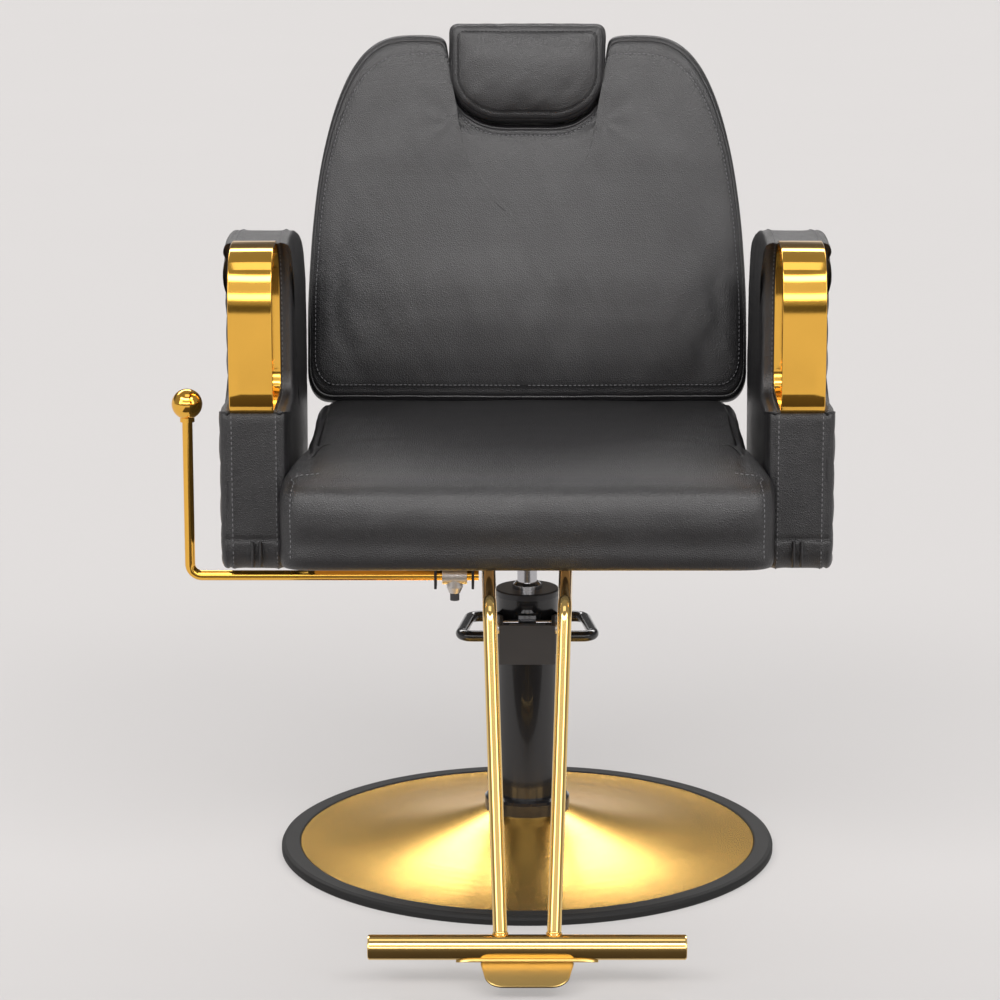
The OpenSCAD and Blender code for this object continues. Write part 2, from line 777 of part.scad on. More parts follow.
module arm_band_left() {
    arm_band(-1);
}

module arm_band_right() {
    arm_band(1);
}

bracket_t = 3;
bracket_l = 120;
bracket_h = 80;
arm_bolt_y = [-40, 40];
arm_bolt_z = arm_z + 52;

module arm_brackets() {
    x_in = arm_gap / 2;
    foot_x = rail_x + rail_w + 5;
    foot_z = board_z - 2 * bracket_t;
    color("#202022")
    for (side = [0, 1]) mirror([side, 0, 0]) difference() {
        union() {
            translate([foot_x, -bracket_l / 2, foot_z])
            cube([x_in - foot_x, bracket_l, 2 * bracket_t]);
            translate([x_in - bracket_t, -bracket_l / 2, foot_z])
            cube([bracket_t, bracket_l, bracket_h]);
        }
        for (y = arm_bolt_y) {
            bar_x(4 + run_gap, x_in - 10, x_in + 1, y, arm_bolt_z);
            translate([foot_x + 20, y, foot_z - 1]) cylinder(r = 3.2, h = 10);
        }
    }
}

module arm_bolts() {
    x_in = arm_gap / 2;
    color("#8c8c90")
    for (side = [0, 1]) mirror([side, 0, 0])
        for (y = arm_bolt_y) {
            translate([x_in - bracket_t, y, arm_bolt_z]) rotate([0, 90, 0]) hex_bolt(4, 4, 25);
            translate([rail_x + rail_w + 25, y, board_z - 2 * bracket_t]) hex_bolt(3, 3, 6);
        }
}

// ---------- footrest ----------

tube_start = [tube_top_x, bar_places[1] + 8, tube_run_z];
kink = [42, 163 - bar_y, tube_run_z];
tube_foot = [29, -bar_y, bar_z];

module footrest_tube(side) {
    along = unit(kink - tube_start);
    down = unit(tube_foot - kink);
    stations = concat([[tube_start, along]], bend(tube_start, kink, tube_foot, 30, 10),
                      [[tube_foot, down]]);
    color("#e0a526")
    mirror([side < 0 ? 1 : 0, 0, 0]) difference() {
        loft(tube_rings(stations, unit(cross(along, down)), tube_r, 28));
        bar_x(bar_d / 2 + weld_gap, 0, bar_l, -bar_y, bar_z);
    }
}

module footrest_tube_left() {
    footrest_tube(-1);
}

module footrest_tube_right() {
    footrest_tube(1);
}

cap_l = 5;

module footrest_bar() {
    wall = 2;
    color("#e0a526")
    difference() {
        bar_x(bar_d / 2, -bar_l / 2 + cap_l, bar_l / 2 - cap_l, -bar_y, bar_z);
        bar_x(bar_d / 2 - wall, -bar_l, bar_l, -bar_y, bar_z);
    }
}

module footrest_caps() {
    r = bar_d / 2;
    color("#e0a526")
    for (side = [0, 1]) mirror([side, 0, 0])
        translate([bar_l / 2 - cap_l, -bar_y, bar_z]) rotate([0, 90, 0])
        rotate_extrude()
        polygon([[0, -8], [r - 2 - run_gap, -8], [r - 2 - run_gap, 0], [r, 0],
                 [r, cap_l - 2], [r - 0.6, cap_l - 0.6], [r - 2, cap_l], [0, cap_l]]);
}

module toe_plate() {
    t = 3;
    flange = 79;
    color("#e0a526") {
        translate([-flange, -bar_y - 20, bar_z - bar_d / 2 - t]) cube([2 * flange, 34, t]);
        translate([0, -bar_y - 20, bar_z - bar_d / 2 - t]) rotate([25, 0, 0])
        mirror([0, 1, 0]) linear_extrude(t) polygon(mirrored(concat(
            [[0, -1], [52, -1], [48, 8]], arc([26, 8], 20, 0, 90, 6), [[0, 28]])));
    }
}

// ---------- recline ----------

module hinge_brackets() {
    r = shaft_d / 2 + 8;
    color("#202022")
    for (side = [0, 1]) mirror([side, 0, 0]) difference() {
        union() {
            side_plate([[rail_rear - 50, frame_z], [hinge_y - 10, frame_z],
                        [hinge_y + r - 2, hinge_z - 6], [hinge_y - r + 1, hinge_z - 4],
                        [rail_rear + 5, board_z - 1], [rail_rear - 50, board_z - 1]],
                       rail_x - 6.05, 6);
            bar_x(r, rail_x - 6.05, rail_x - 0.05, hinge_y, hinge_z);
        }
        bar_x(shaft_d / 2 + run_gap, 0, 2 * rail_x, hinge_y, hinge_z);
    }
}

module hinge_shaft() {
    half = strap_x + 8;
    color("#b9bbbe")
    bar_x(shaft_d / 2, -half, half, hinge_y, hinge_z);
}

module shaft_clips() {
    half = strap_x + 6.5;
    color("#8c8c90")
    for (side = [0, 1]) mirror([side, 0, 0]) difference() {
        bar_x(shaft_d / 2 + 3, half, half + 1.2, hinge_y, hinge_z);
        bar_x(shaft_d / 2 + run_gap, half - 1, half + 3, hinge_y, hinge_z);
    }
}

module crank() {
    hub = shaft_d / 2 + 6;
    plate = 5;
    gap = 9.5;
    x_left = gas_x - gap / 2 - plate;
    slot_r = gas_pin_r + 0.4;
    outline = concat(arc([0, 0], hub, 0, 180, 16), arc([0, -crank_r], 11, 180, 360, 12));
    slot = concat(arc([0, -crank_drop + 0.5], slot_r, 0, 180, 10),
                  arc([0, -crank_r - 0.5], slot_r, 180, 360, 10));
    color("#202022")
    difference() {
        union() {
            bar_x(hub - 2, x_left + plate, x_left + plate + gap, hinge_y, hinge_z);
            for (x = [x_left, x_left + gap + plate])
                translate([x, hinge_y, hinge_z]) rotate([half_swing, 0, 0])
                rotate([90, 0, 90]) linear_extrude(plate) difference() {
                    polygon(outline);
                    polygon(slot);
                }
        }
        bar_x(shaft_d / 2 + run_gap, -2 * rail_x, 0, hinge_y, hinge_z);
    }
}

module release_head() {
    w2 = 14.5;
    color("#b4b2ae")
    difference() {
        union() {
            bar_x(10.5, gas_x - w2, gas_x + w2, lever_y, lever_z);
            translate([gas_x, lever_y, lever_z - 14]) cylinder(r = 9.5, h = 12);
            translate([gas_x, lever_y, lever_z - 21]) cylinder(r1 = 6.5, r2 = 9.5, h = 7 + eps);
            translate([gas_x, lever_y, lever_z]) rotate([-90, 0, 0]) cylinder(r = 8, h = 26);
        }
        bar_x(lever_d / 2 + run_gap, gas_x - 30, gas_x + 30, lever_y, lever_z);
        translate([gas_x, lever_y + 10, lever_z]) rotate([-90, 0, 0])
        cylinder(r = gas_rod_d / 2 + run_gap, h = 30);
        translate([gas_x, lever_y, lever_z - 30]) cylinder(r = 4 + run_gap, h = 20);
    }
}

module release_plug() {
    color("#3c3c40") {
        translate([gas_x, lever_y, lever_z - 30]) cylinder(r = 5.5, h = 9);
        translate([gas_x, lever_y, lever_z - 22]) cylinder(r = 4, h = 10);
    }
}

module lever_bracket() {
    t = 3;
    ears = [gas_x - 24, gas_x + 20];
    color("#161618")
    difference() {
        union() {
            translate([ears[0], lever_y - 25, board_z - t]) cube([ears[1] + t - ears[0], 44, t]);
            for (x = ears)
                translate([x, lever_y - 12, lever_z - 14]) cube([t, 24, board_z - lever_z + 13]);
        }
        bar_x(lever_d / 2 + run_gap, gas_x - 40, gas_x + 40, lever_y, lever_z);
    }
}

gas_front = 40;
gas_end = gas_pin_y - 26;

module gas_rod() {
    color("#dfe1e3")
    translate([gas_x, lever_y + 11, lever_z]) rotate([-90, 0, 0])
    cylinder(r = gas_rod_d / 2, h = 200);
}

module gas_cylinder() {
    color("#17171a")
    difference() {
        union() {
            translate([gas_x, gas_front, lever_z]) rotate([-90, 0, 0])
            cylinder(r = gas_d / 2, h = gas_end - gas_front);
            translate([gas_x, gas_end - 1, lever_z]) rotate([-90, 0, 0])
            cylinder(r = 4, h = 20);
            bar_x(9, gas_x - 4.5, gas_x + 4.5, gas_pin_y, lever_z);
        }
        translate([gas_x, gas_front - 1, lever_z]) rotate([-90, 0, 0])
        cylinder(r = gas_rod_d / 2 + run_gap, h = 4);
        translate([gas_x, gas_front + 2, lever_z]) rotate([-90, 0, 0])
        cylinder(r = gas_d / 2 - 2, h = gas_end - gas_front - 6);
        bar_x(gas_pin_r + run_gap, gas_x - 10, gas_x + 10, gas_pin_y, lever_z);
    }
}

module gas_pin() {
    color("#b9bbbe") {
        bar_x(gas_pin_r, gas_x - 11.5, gas_x + 11.5, gas_pin_y, lever_z);
        for (x = [gas_x - 13, gas_x + 11.5])
            bar_x(gas_pin_r + 2, x, x + 1.5, gas_pin_y, lever_z);
    }
}

module recline_rod() {
    r = lever_d / 2;
    bend = 14;
    color("#e0a526") {
        bar_x(r, -lever_x + bend, gas_x + 28.5, lever_y, lever_z);
        translate([-lever_x + bend, lever_y, lever_z + bend]) rotate([90, 0, 0])
        rotate_extrude(angle = 90, start = 180) translate([bend, 0]) circle(r = r, $fn = 48);
        translate([-lever_x, lever_y, lever_z + bend]) cylinder(r = r, h = ball_z - lever_z - bend);
    }
}

module lever_ball() {
    color("#e0a526")
    translate([-lever_x, lever_y, ball_z]) difference() {
        union() {
            sphere(r = ball_d / 2, $fn = 64);
            translate([0, 0, -ball_d / 2 - 3]) cylinder(r = lever_d / 2 + 2.5, h = 8);
        }
        translate([0, 0, -ball_d]) cylinder(r = lever_d / 2 + run_gap, h = ball_d);
    }
}

// ---------- back ----------

module back_straps() {
    hinge = in_back(hinge_y, hinge_z);
    r = shaft_d / 2 + 8;
    t = 6;
    color("#202022")
    back_frame()
    for (side = [0, 1]) mirror([side, 0, 0]) difference() {
        union() {
            side_plate([[hinge[0] - r, hinge[1]], [hinge[0] + r, hinge[1]],
                        [strap_y + 20, -6], [strap_y, 4], [strap_y, -10], [hinge[0] - r + 4, -30]],
                       strap_x, t);
            bar_x(r, strap_x, strap_x + t, hinge[0], hinge[1]);
            side_plate([[strap_y, -10], [strap_y + 20, -6], [strap_y + 6, 40], [strap_y, 40]],
                       strap_x, t);
            translate([strap_x - 12, strap_y, 10]) cube([30, 5, 280]);
        }
        bar_x(shaft_d / 2 + run_gap, 0, 2 * rail_x, hinge[0], hinge[1]);
    }
}

module back_board() {
    color("#b08d5b")
    back_frame()
    translate([0, board_y + board_t, 0]) rotate([90, 0, 0]) linear_extrude(board_t)
    polygon(mirrored(back_half(12)));
}

module back_cover() {
    wall = 4;
    color("#1f1f22")
    back_frame()
    difference() {
        translate([0, board_y + cover_t, 0]) rotate([90, 0, 0]) linear_extrude(cover_t)
        polygon(mirrored(back_half(6)));
        translate([0, board_y + cover_t - wall, 0]) rotate([90, 0, 0])
        linear_extrude(cover_t) polygon(mirrored(back_half(6 + wall)));
        translate([-strap_x - 24, strap_y - 1, -20]) cube([2 * strap_x + 48, cover_t - 14, 40]);
        for (x = [-post_x, post_x])
            translate([x, guide_y, notch_z - 40]) cylinder(r = post_d / 2 + 1, h = 60);
    }
}

guide_h = 130;
guide_z = notch_z - guide_h - 18;

module post_guides() {
    color("#3a3a3c")
    back_frame()
    for (x = [-post_x, post_x])
        translate([x, guide_y, guide_z]) difference() {
            cylinder(r = 10, h = guide_h);
            translate([0, 0, -1]) cylinder(r = post_d / 2 + run_gap, h = guide_h + 2);
        }
}

module headrest_plate() {
    z0 = notch_z + 22;
    color("#202022")
    back_frame()
    difference() {
        union() {
            translate([-60, board_y, z0]) cube([120, 5, 66]);
            for (x = [-post_x, post_x])
                translate([x, guide_y, z0 + 8]) {
                    cylinder(r = 10, h = 50);
                    translate([-10, board_y - guide_y + 4, 0]) cube([20, guide_y - board_y - 4, 50]);
                }
        }
        for (x = [-post_x, post_x])
            translate([x, guide_y, z0]) cylinder(r = post_d / 2 + run_gap, h = 80);
    }
}

module headrest_posts() {
    color("#dfe1e3")
    back_frame()
    for (x = [-post_x, post_x])
        translate([x, guide_y, guide_z + 5]) cylinder(r = post_d / 2, h = notch_z + 78 - guide_z - 5);
}

base_rim();
base_dish();
base_hub();
hub_bolts();
base_collar();
thrust_washer();
pump_cylinder();
pump_barrel();
pump_cap();
rod_gland();
retaining_ring();
pump_block();
lever_pin();
plunger();
pedal_yoke();
pedal_loop();
piston_rod();
piston();
piston_seal();
mount_plate();
plate_bolts();
cross_bars();
seat_rails();
seat_board();
seat_cushion();
arm_pad_left();
arm_pad_right();
arm_band_left();
arm_band_right();
arm_brackets();
arm_bolts();
footrest_tube_left();
footrest_tube_right();
footrest_bar();
footrest_caps();
toe_plate();
hinge_brackets();
lever_bracket();
release_head();
release_plug();
gas_rod();
gas_cylinder();
gas_pin();
hinge_shaft();
shaft_clips();
crank();
back_straps();
back_board();
back_cushion();
back_cover();
post_guides();
headrest_pad();
headrest_plate();
headrest_posts();
recline_rod();
lever_ball();
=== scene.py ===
import json
import math

import bmesh
import bpy
import numpy as np
from bpy.props import FloatProperty, FloatVectorProperty, IntProperty, PointerProperty
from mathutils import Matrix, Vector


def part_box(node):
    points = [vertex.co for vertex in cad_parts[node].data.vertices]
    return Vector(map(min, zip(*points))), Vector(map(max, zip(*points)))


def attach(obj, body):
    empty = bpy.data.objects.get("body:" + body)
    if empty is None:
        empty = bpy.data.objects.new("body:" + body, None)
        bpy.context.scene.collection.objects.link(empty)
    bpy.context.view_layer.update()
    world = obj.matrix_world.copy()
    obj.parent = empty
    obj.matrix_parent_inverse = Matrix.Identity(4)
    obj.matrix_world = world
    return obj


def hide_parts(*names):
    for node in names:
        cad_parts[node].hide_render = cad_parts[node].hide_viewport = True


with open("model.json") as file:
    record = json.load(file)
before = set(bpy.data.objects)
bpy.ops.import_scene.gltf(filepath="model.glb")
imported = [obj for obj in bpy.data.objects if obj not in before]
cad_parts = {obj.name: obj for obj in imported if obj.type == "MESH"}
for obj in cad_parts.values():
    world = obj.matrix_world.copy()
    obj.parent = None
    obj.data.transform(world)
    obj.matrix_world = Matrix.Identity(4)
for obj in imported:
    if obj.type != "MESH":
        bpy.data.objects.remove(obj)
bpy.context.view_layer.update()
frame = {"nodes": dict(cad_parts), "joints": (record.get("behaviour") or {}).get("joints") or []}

bl_info = {
    "name": "Barber chair dressing",
    "version": (1, 0, 0),
    "blender": (4, 5, 0),
    "location": "3D View > Sidebar > Chair",
    "description": "Upholstery, plated metal and studio for a hydraulic barber chair",
    "category": "Object",
}

MM = 0.001


# ---------- measures taken from the frame ----------

def low(node):
    """Lowest corner of a node in millimetres."""
    return np.array(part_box(node)[0]) / MM


def high(node):
    """Highest corner of a node in millimetres."""
    return np.array(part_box(node)[1]) / MM


BACK_UP = np.array(next(j["axis"] for j in frame["joints"]
                        if j["name"] == "headrest_slide"))
BACK_REAR = np.array([0.0, BACK_UP[2], -BACK_UP[1]])
SEAT_LOW, SEAT_HIGH = low("seat_cushion"), high("seat_cushion")
ARM_LOW, ARM_HIGH = low("arm_pad_right"), high("arm_pad_right")
BAND_LOW, BAND_HIGH = low("arm_band_right"), high("arm_band_right")
BACK_CORNER = np.array([0.0, 180.0, 520.0])   # foot of the back's front face
BACK_H = 450.0
SEAT_THICK = 99.0                              # up to the seat's upper edge
DEEP = 62.0                                    # back and headrest, from face to rear
SIDES = ((-1, "left"), (1, "right"))


# ---------- curves ----------

def unit(ways):
    """Directions at length one."""
    return ways / np.maximum(np.linalg.norm(ways, axis=-1, keepdims=True), 1e-9)


def distance(points, least=0.0):
    """Distance along a run of points whose steps count for no less than the least."""
    step = np.linalg.norm(np.diff(points, axis=0), axis=1)
    return np.concatenate([[0], np.cumsum(np.maximum(step, least))])


def sampled(values, run, at):
    """Values given along a run, read off at other distances."""
    return np.stack([np.interp(at, run, column) for column in values.T], 1)


def arc(cx, cy, r, start, stop, steps):
    """Points on a circle's arc between two angles in degrees."""
    t = np.radians(np.linspace(start, stop, steps + 1))
    return np.stack([cx + r * np.cos(t), cy + r * np.sin(t)], 1)


def circle(r, sides):
    """Points evenly round a circle about the origin."""
    return arc(0, 0, r, 0, 360 - 360 / sides, sides - 1)


def mirrored(half):
    """A closed outline from its right half, which runs from bottom centre to top centre."""
    half = np.vstack(half)
    left = half[-2:0:-1] * [-1, 1]
    return np.vstack([half, left])


def even(points, count):
    """A closed outline resampled at equal steps along its length."""
    loop = np.vstack([points, points[:1]])
    run = distance(loop)
    return sampled(loop, run, np.linspace(0, run[-1], count, endpoint=False))


def relaxed(points, passes):
    """A closed outline, each point drawn to its neighbours' mean, pass after pass."""
    for _ in range(passes):
        points = (points * 2 + np.roll(points, 1, 0) + np.roll(points, -1, 0)) / 4
    return points


def flow(stops, count, scale):
    """A smooth run of [share, height] through the stops: cubic pieces whose slopes are the
    chords between neighbours. Also gives the distance along the run and of each stop."""
    stops = np.array(stops, float)
    at = distance(stops * [scale, 1], 1e-6)
    slope = np.gradient(stops, at, axis=0)
    t = np.linspace(0, at[-1], count)
    k = np.clip(np.searchsorted(at, t, side="right") - 1, 0, len(at) - 2)
    h = (at[k + 1] - at[k])[:, None]
    f = (t - at[k])[:, None] / h
    value = ((2 * f**3 - 3 * f**2 + 1) * stops[k] + (f**3 - 2 * f**2 + f) * h * slope[k]
             + (3 * f**2 - 2 * f**3) * stops[k + 1] + (f**3 - f**2) * h * slope[k + 1])
    value[:, 0] = np.clip(value[:, 0], 0, None)
    return value, t, at


def bend(a, b, c, radius, steps):
    """The circular bend between the lines a-b and b-c: start plus radius times sin(t) along
    the first line and 1 - cos(t) towards the inside."""
    a, b, c = (np.array(p, float) for p in (a, b, c))
    u0, u1 = unit(b - a), unit(c - b)
    turn = math.acos(float(np.clip(u0 @ u1, -1, 1)))
    inward = np.cross(unit(np.cross(u0, u1)), u0)
    start = b - radius * math.tan(turn / 2) * u0
    t = np.linspace(0, turn, steps + 1)[:, None]
    return start + radius * (np.sin(t) * u0 + (1 - np.cos(t)) * inward)


# ---------- surfaces ----------

def grid_faces(rows, cols):
    """Quads of a grid whose columns close on themselves."""
    r, c = np.meshgrid(np.arange(rows - 1), np.arange(cols), indexing="ij")
    n = (c + 1) % cols
    r, after = r * cols, (r + 1) * cols
    return np.stack([r + c, r + n, after + n, after + c], -1).reshape(-1, 4)


def closed_skin(rows):
    """Rows of rings as one closed surface: each end ring runs to its middle point."""
    count, cols = rows.shape[:2]
    verts = np.vstack([rows.reshape(-1, 3), rows[0].mean(0), rows[-1].mean(0)])
    i = np.arange(cols)
    n = (i + 1) % cols
    first = np.stack([np.full(cols, count * cols), n, i], 1)
    base = (count - 1) * cols
    last = np.stack([np.full(cols, count * cols + 1), base + i, base + n], 1)
    return verts, grid_faces(count, cols).tolist() + first.tolist() + last.tolist()


def ring_skin(rows):
    """Rows of rings that close on themselves both ways, as a loop of tube."""
    count, cols = rows.shape[:2]
    faces = grid_faces(count + 1, cols) % (count * cols)
    return rows.reshape(-1, 3), faces.tolist()


def heading(path, closed):
    """Unit directions along a path."""
    if closed:
        return unit(np.roll(path, -1, 0) - np.roll(path, 1, 0))
    return unit(np.gradient(path, axis=0))


def swept(path, section, up, closed=False):
    """A section carried along a path that lies in the plane with the normal up: each ring is
    the path's point plus the section's first number across and its second along up."""
    path, up = np.array(path, float), np.array(up, float)
    across = unit(np.cross(up, heading(path, closed)))
    rows = (path[:, None] + section[None, :, :1] * across[:, None]
            + section[None, :, 1:] * up)
    return ring_skin(rows) if closed else closed_skin(rows)


def turned(profile, sides=160, place=(0, 0, 0), basis=None):
    """A profile of [radius, height] turned about an axis: x = r cos(t), y = r sin(t)."""
    profile = np.array(profile, float)
    t = np.linspace(0, 2 * math.pi, sides, endpoint=False)
    rows = np.stack([profile[:, :1] * np.cos(t), profile[:, :1] * np.sin(t),
                     np.repeat(profile[:, 1:], sides, 1)], -1)
    if basis is not None:
        rows = rows @ np.array(basis, float)
    rows = rows + np.array(place, float)
    inner = profile[0, 0] > 1e-6 and profile[-1, 0] > 1e-6
    return ring_skin(rows) if inner else closed_skin(rows)


def normals_of(rows):
    """Unit normals of a grid of rings, pointing away from the middle of its rows."""
    du = np.roll(rows, -1, 1) - np.roll(rows, 1, 1)
    dv = np.gradient(rows, axis=0)
    n = unit(np.cross(du, dv))
    outward = rows - rows.reshape(-1, 3).mean(0)
    return n if (n * outward).sum() > 0 else -n


def pad_grid(outline, stops, rows, middle, core=0.0, scale=250.0):
    """Rings of a cushion: each point is the middle plus share times the outline's offset,
    widened by a core share that fades to nothing at the pole. Gives a, b and height grids,
    the distance along the run and the distance of each stop."""
    value, t, at = flow(stops, rows, scale)
    share, height = value[:, :1], value[:, 1:]
    fade = np.clip(share / 0.5, 0, 1)
    wide = share + (1 - share) * core * fade * fade * (3 - 2 * fade)
    a = middle[0] + (outline[:, 0] - middle[0])[None] * wide
    b = middle[1] + (outline[:, 1] - middle[1])[None] * share
    return a, b, np.repeat(height, len(outline), 1), t, at


def soft_noise(points, size, seed):
    """Smooth, small waves: a fixed sum of sines in seeded directions."""
    rng = np.random.default_rng(seed)
    total = np.zeros(points.shape[:-1])
    for k in range(7):
        way = rng.normal(size=3)
        way *= (1 + 0.5 * k) / (size * np.linalg.norm(way))
        phase = rng.uniform(0, 6.28)
        total += np.sin(points @ way * 2 * math.pi + phase) / (1 + 0.6 * k)
    return total / 3


def dent(away, width):
    """A groove's depth share at a distance from its line."""
    return np.exp(-(away / width) ** 2)


def grooves(t, *lines):
    """Summed depth of the grooves (place, width, depth) along a cushion's run."""
    return sum(dent(t - place, width) * depth for place, width, depth in lines)[:, None]


CLOTH_FRAMES = 20
NEAREST = 16             # cloth points that carry a ring point along
BATCH = 1200             # ring points looked up at a time


def swell(rows, hold, cap, pressure=4.0, slack=0.02, voxel=11.0):
    """Cushion rows after a run of cloth: the closed skin is remeshed evenly, held where hold
    gives 1, and blown up from inside without gravity. Each ring point then moves by the mean
    move of its nearest cloth points, weighted by a bell of their distance, all moves scaled
    so that the largest is no more than the cap."""
    scene = bpy.context.scene
    skin = linked("cushion_skin", mesh_of("cushion_skin", *closed_skin(rows)))
    even_out = skin.modifiers.new("even", "REMESH")
    even_out.mode, even_out.voxel_size = "VOXEL", voxel * MM
    graph = bpy.context.evaluated_depsgraph_get()
    cover = linked("cushion_cover",
                   bpy.data.meshes.new_from_object(skin.evaluated_get(graph)))
    before = corners(cover.data)
    share = np.round(np.clip(hold(before), 0, 1), 1)
    held = cover.vertex_groups.new(name="held")
    for level in np.unique(share):
        held.add(np.flatnonzero(share == level).tolist(), float(level), "REPLACE")
    cloth = cover.modifiers.new("cloth", "CLOTH")
    cloth.settings.vertex_group_mass = "held"
    cloth.settings.use_pressure = True
    cloth.settings.uniform_pressure_force = pressure
    cloth.settings.shrink_min = -slack
    cloth.settings.effector_weights.gravity = 0
    cloth.collision_settings.use_collision = False
    for step in range(1, CLOTH_FRAMES + 1):
        scene.frame_set(step)
    graph = bpy.context.evaluated_depsgraph_get()
    move = corners(cover.evaluated_get(graph).data) - before
    scene.frame_set(1)
    for done in (skin, cover):
        old = done.data
        bpy.data.objects.remove(done)
        bpy.data.meshes.remove(old)
    move *= min(1, cap / np.linalg.norm(move, axis=1).max())
    points = rows.reshape(-1, 3)
    shift = np.zeros_like(points)
    bell = 2 * (voxel * 0.8) ** 2
    for part in np.array_split(np.arange(len(points)), len(points) // BATCH + 1):
        here = points[part]
        gap = (here**2).sum(1)[:, None] + (before**2).sum(1) - 2 * here @ before.T
        near = np.argpartition(gap, NEAREST, axis=1)[:, :NEAREST]
        weight = np.exp(-np.take_along_axis(gap, near, 1) / bell) + 1e-12
        shift[part] = (weight[..., None] * move[near]).sum(1) / weight.sum(1)[:, None]
    return rows + shift.reshape(rows.shape)


def mesh_of(name, verts, faces):
    """A mesh from corners in millimetres."""
    mesh = bpy.data.meshes.new(name)
    mesh.from_pydata((np.array(verts) * MM).tolist(), [], faces)
    return mesh


def linked(name, data):
    """A new object in the scene."""
    made = bpy.data.objects.new(name, data)
    bpy.context.scene.collection.objects.link(made)
    return made


def corners(mesh):
    """A mesh's vertices as an array in millimetres."""
    flat = np.zeros(len(mesh.vertices) * 3)
    mesh.vertices.foreach_get("co", flat)
    return flat.reshape(-1, 3) / MM


# ---------- pieces ----------

def piece(name, parts, look, body, replaced=(), sharp=38, radial=False):
    """One named object from (vertices in millimetres, faces) parts, in the look of a finish,
    outward, shaded smooth with edges kept sharp past an angle, and riding on its body. A
    radial piece gets a UV map: u is the distance from the Z axis, v the angle round it."""
    verts, faces, start = [], [], 0
    for v, f in parts:
        verts.append(v)
        faces += [[i + start for i in face] for face in f]
        start += len(v)
    mesh = mesh_of(name, np.vstack(verts), faces)
    tidy = bmesh.new()
    tidy.from_mesh(mesh)
    bmesh.ops.remove_doubles(tidy, verts=tidy.verts, dist=1e-6)
    bmesh.ops.recalc_face_normals(tidy, faces=tidy.faces)
    tidy.to_mesh(mesh)
    tidy.free()
    mesh.polygons.foreach_set("use_smooth", [True] * len(mesh.polygons))
    mesh.set_sharp_from_angle(angle=math.radians(sharp))
    if radial:
        corner = np.zeros(len(mesh.loops), int)
        mesh.loops.foreach_get("vertex_index", corner)
        x, y, _ = corners(mesh)[corner].T * MM
        uv = np.stack([np.hypot(x, y), np.arctan2(y, x) * 0.15], 1)
        mesh.uv_layers.new(name="turning").data.foreach_set("uv", uv.ravel())
    mesh.materials.append(finish(look))
    made = linked(name, mesh)
    if replaced:
        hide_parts(*replaced)
    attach(made, body)
    return made


def stitches(path, normal, length=3.6, step=5.6, thick=0.7):
    """Thread stitches along a path: short spindles, each half sunk, laid along the path."""
    run = distance(path)
    at = np.arange(step / 2, run[-1] - step / 2, step)
    centre = sampled(path, run, at)
    along = unit(sampled(path, run, at + 1) - centre)
    side = unit(np.cross(sampled(normal, run, at), along))
    out = np.cross(along, side)
    sides, stations = 6, [(-0.5, 0.35), (-0.3, 0.9), (0.3, 0.9), (0.5, 0.35)]
    t = np.linspace(0, 2 * math.pi, sides, endpoint=False)
    local = np.array([[x * length, r * thick * math.cos(a), r * thick * math.sin(a)]
                      for x, r in stations for a in t])
    verts = (centre[:, None] + local[None, :, :1] * along[:, None]
             + local[None, :, 1:2] * side[:, None] + local[None, :, 2:] * out[:, None])
    one = len(local)
    ends = [list(range(sides - 1, -1, -1)), list(range(one - sides, one))]
    faces = grid_faces(len(stations), sides).tolist() + ends
    every = [[i + one * s for i in f] for s in range(len(centre)) for f in faces]
    return verts.reshape(-1, 3), every


def piping(path, normal, radius, lift, sides=10):
    """A round welt along a closed path, its middle lifted by a share of its radius."""
    side = unit(np.cross(normal, heading(path, True)))
    t = np.linspace(0, 2 * math.pi, sides, endpoint=False)
    rows = (path[:, None] + normal[:, None] * (lift * radius)
            + radius * (np.cos(t)[None, :, None] * side[:, None]
                        + np.sin(t)[None, :, None] * normal[:, None]))
    return ring_skin(rows)


def row_at(rows, normals, t, where):
    """The ring at a distance along the run of a cushion's rows, and its normals."""
    k = int(np.clip(np.searchsorted(t, where), 1, len(t) - 1))
    f = (where - t[k - 1]) / (t[k] - t[k - 1])
    return [grid[k - 1] * (1 - f) + grid[k] * f for grid in (rows, normals)]


# ---------- shader maths ----------

def operation(kind, turned_round=False):
    """A method that adds one Math node for an arithmetic operator."""
    def method(self, other):
        return self.shader.math(kind, *((other, self) if turned_round else (self, other)))
    return method


class Value:
    """A socket whose arithmetic adds Math nodes to its tree."""
    __add__ = __radd__ = operation("ADD")
    __sub__, __rsub__ = operation("SUBTRACT"), operation("SUBTRACT", True)
    __mul__ = __rmul__ = operation("MULTIPLY")
    __truediv__, __pow__ = operation("DIVIDE"), operation("POWER")

    def __init__(self, shader, socket):
        self.shader, self.socket = shader, socket


class Nodes:
    """A node tree built from nodes by name."""

    def __init__(self, tree):
        self.tree = tree

    def _feed(self, socket, value):
        if isinstance(value, Value):
            self.tree.links.new(value.socket, socket)
        else:
            socket.default_value = value

    def node(self, kind, settings=None, feeds=None, output=0):
        """Adds a node: its settings first, then the values or links of its sockets."""
        made = self.tree.nodes.new("ShaderNode" + kind)
        for key, value in (settings or {}).items():
            setattr(made, key, value)
        for key, value in (feeds or {}).items():
            self._feed(made.inputs[key], value)
        return Value(self, made.outputs[output])

    def math(self, kind, *values):
        return self.node("Math", {"operation": kind}, dict(enumerate(values)))

    def step(self, value, start, stop):
        """A smooth rise from 0 to 1 between two values."""
        feeds = {"Value": value, "From Min": start, "From Max": stop}
        return self.node("MapRange", {"interpolation_type": "SMOOTHSTEP"}, feeds)

    def window(self, value, start, stop, soft):
        """1 between two values and 0 outside, with soft edges."""
        rise = self.step(value, start - soft, start + soft)
        return rise * (1 - self.step(value, stop - soft, stop + soft))


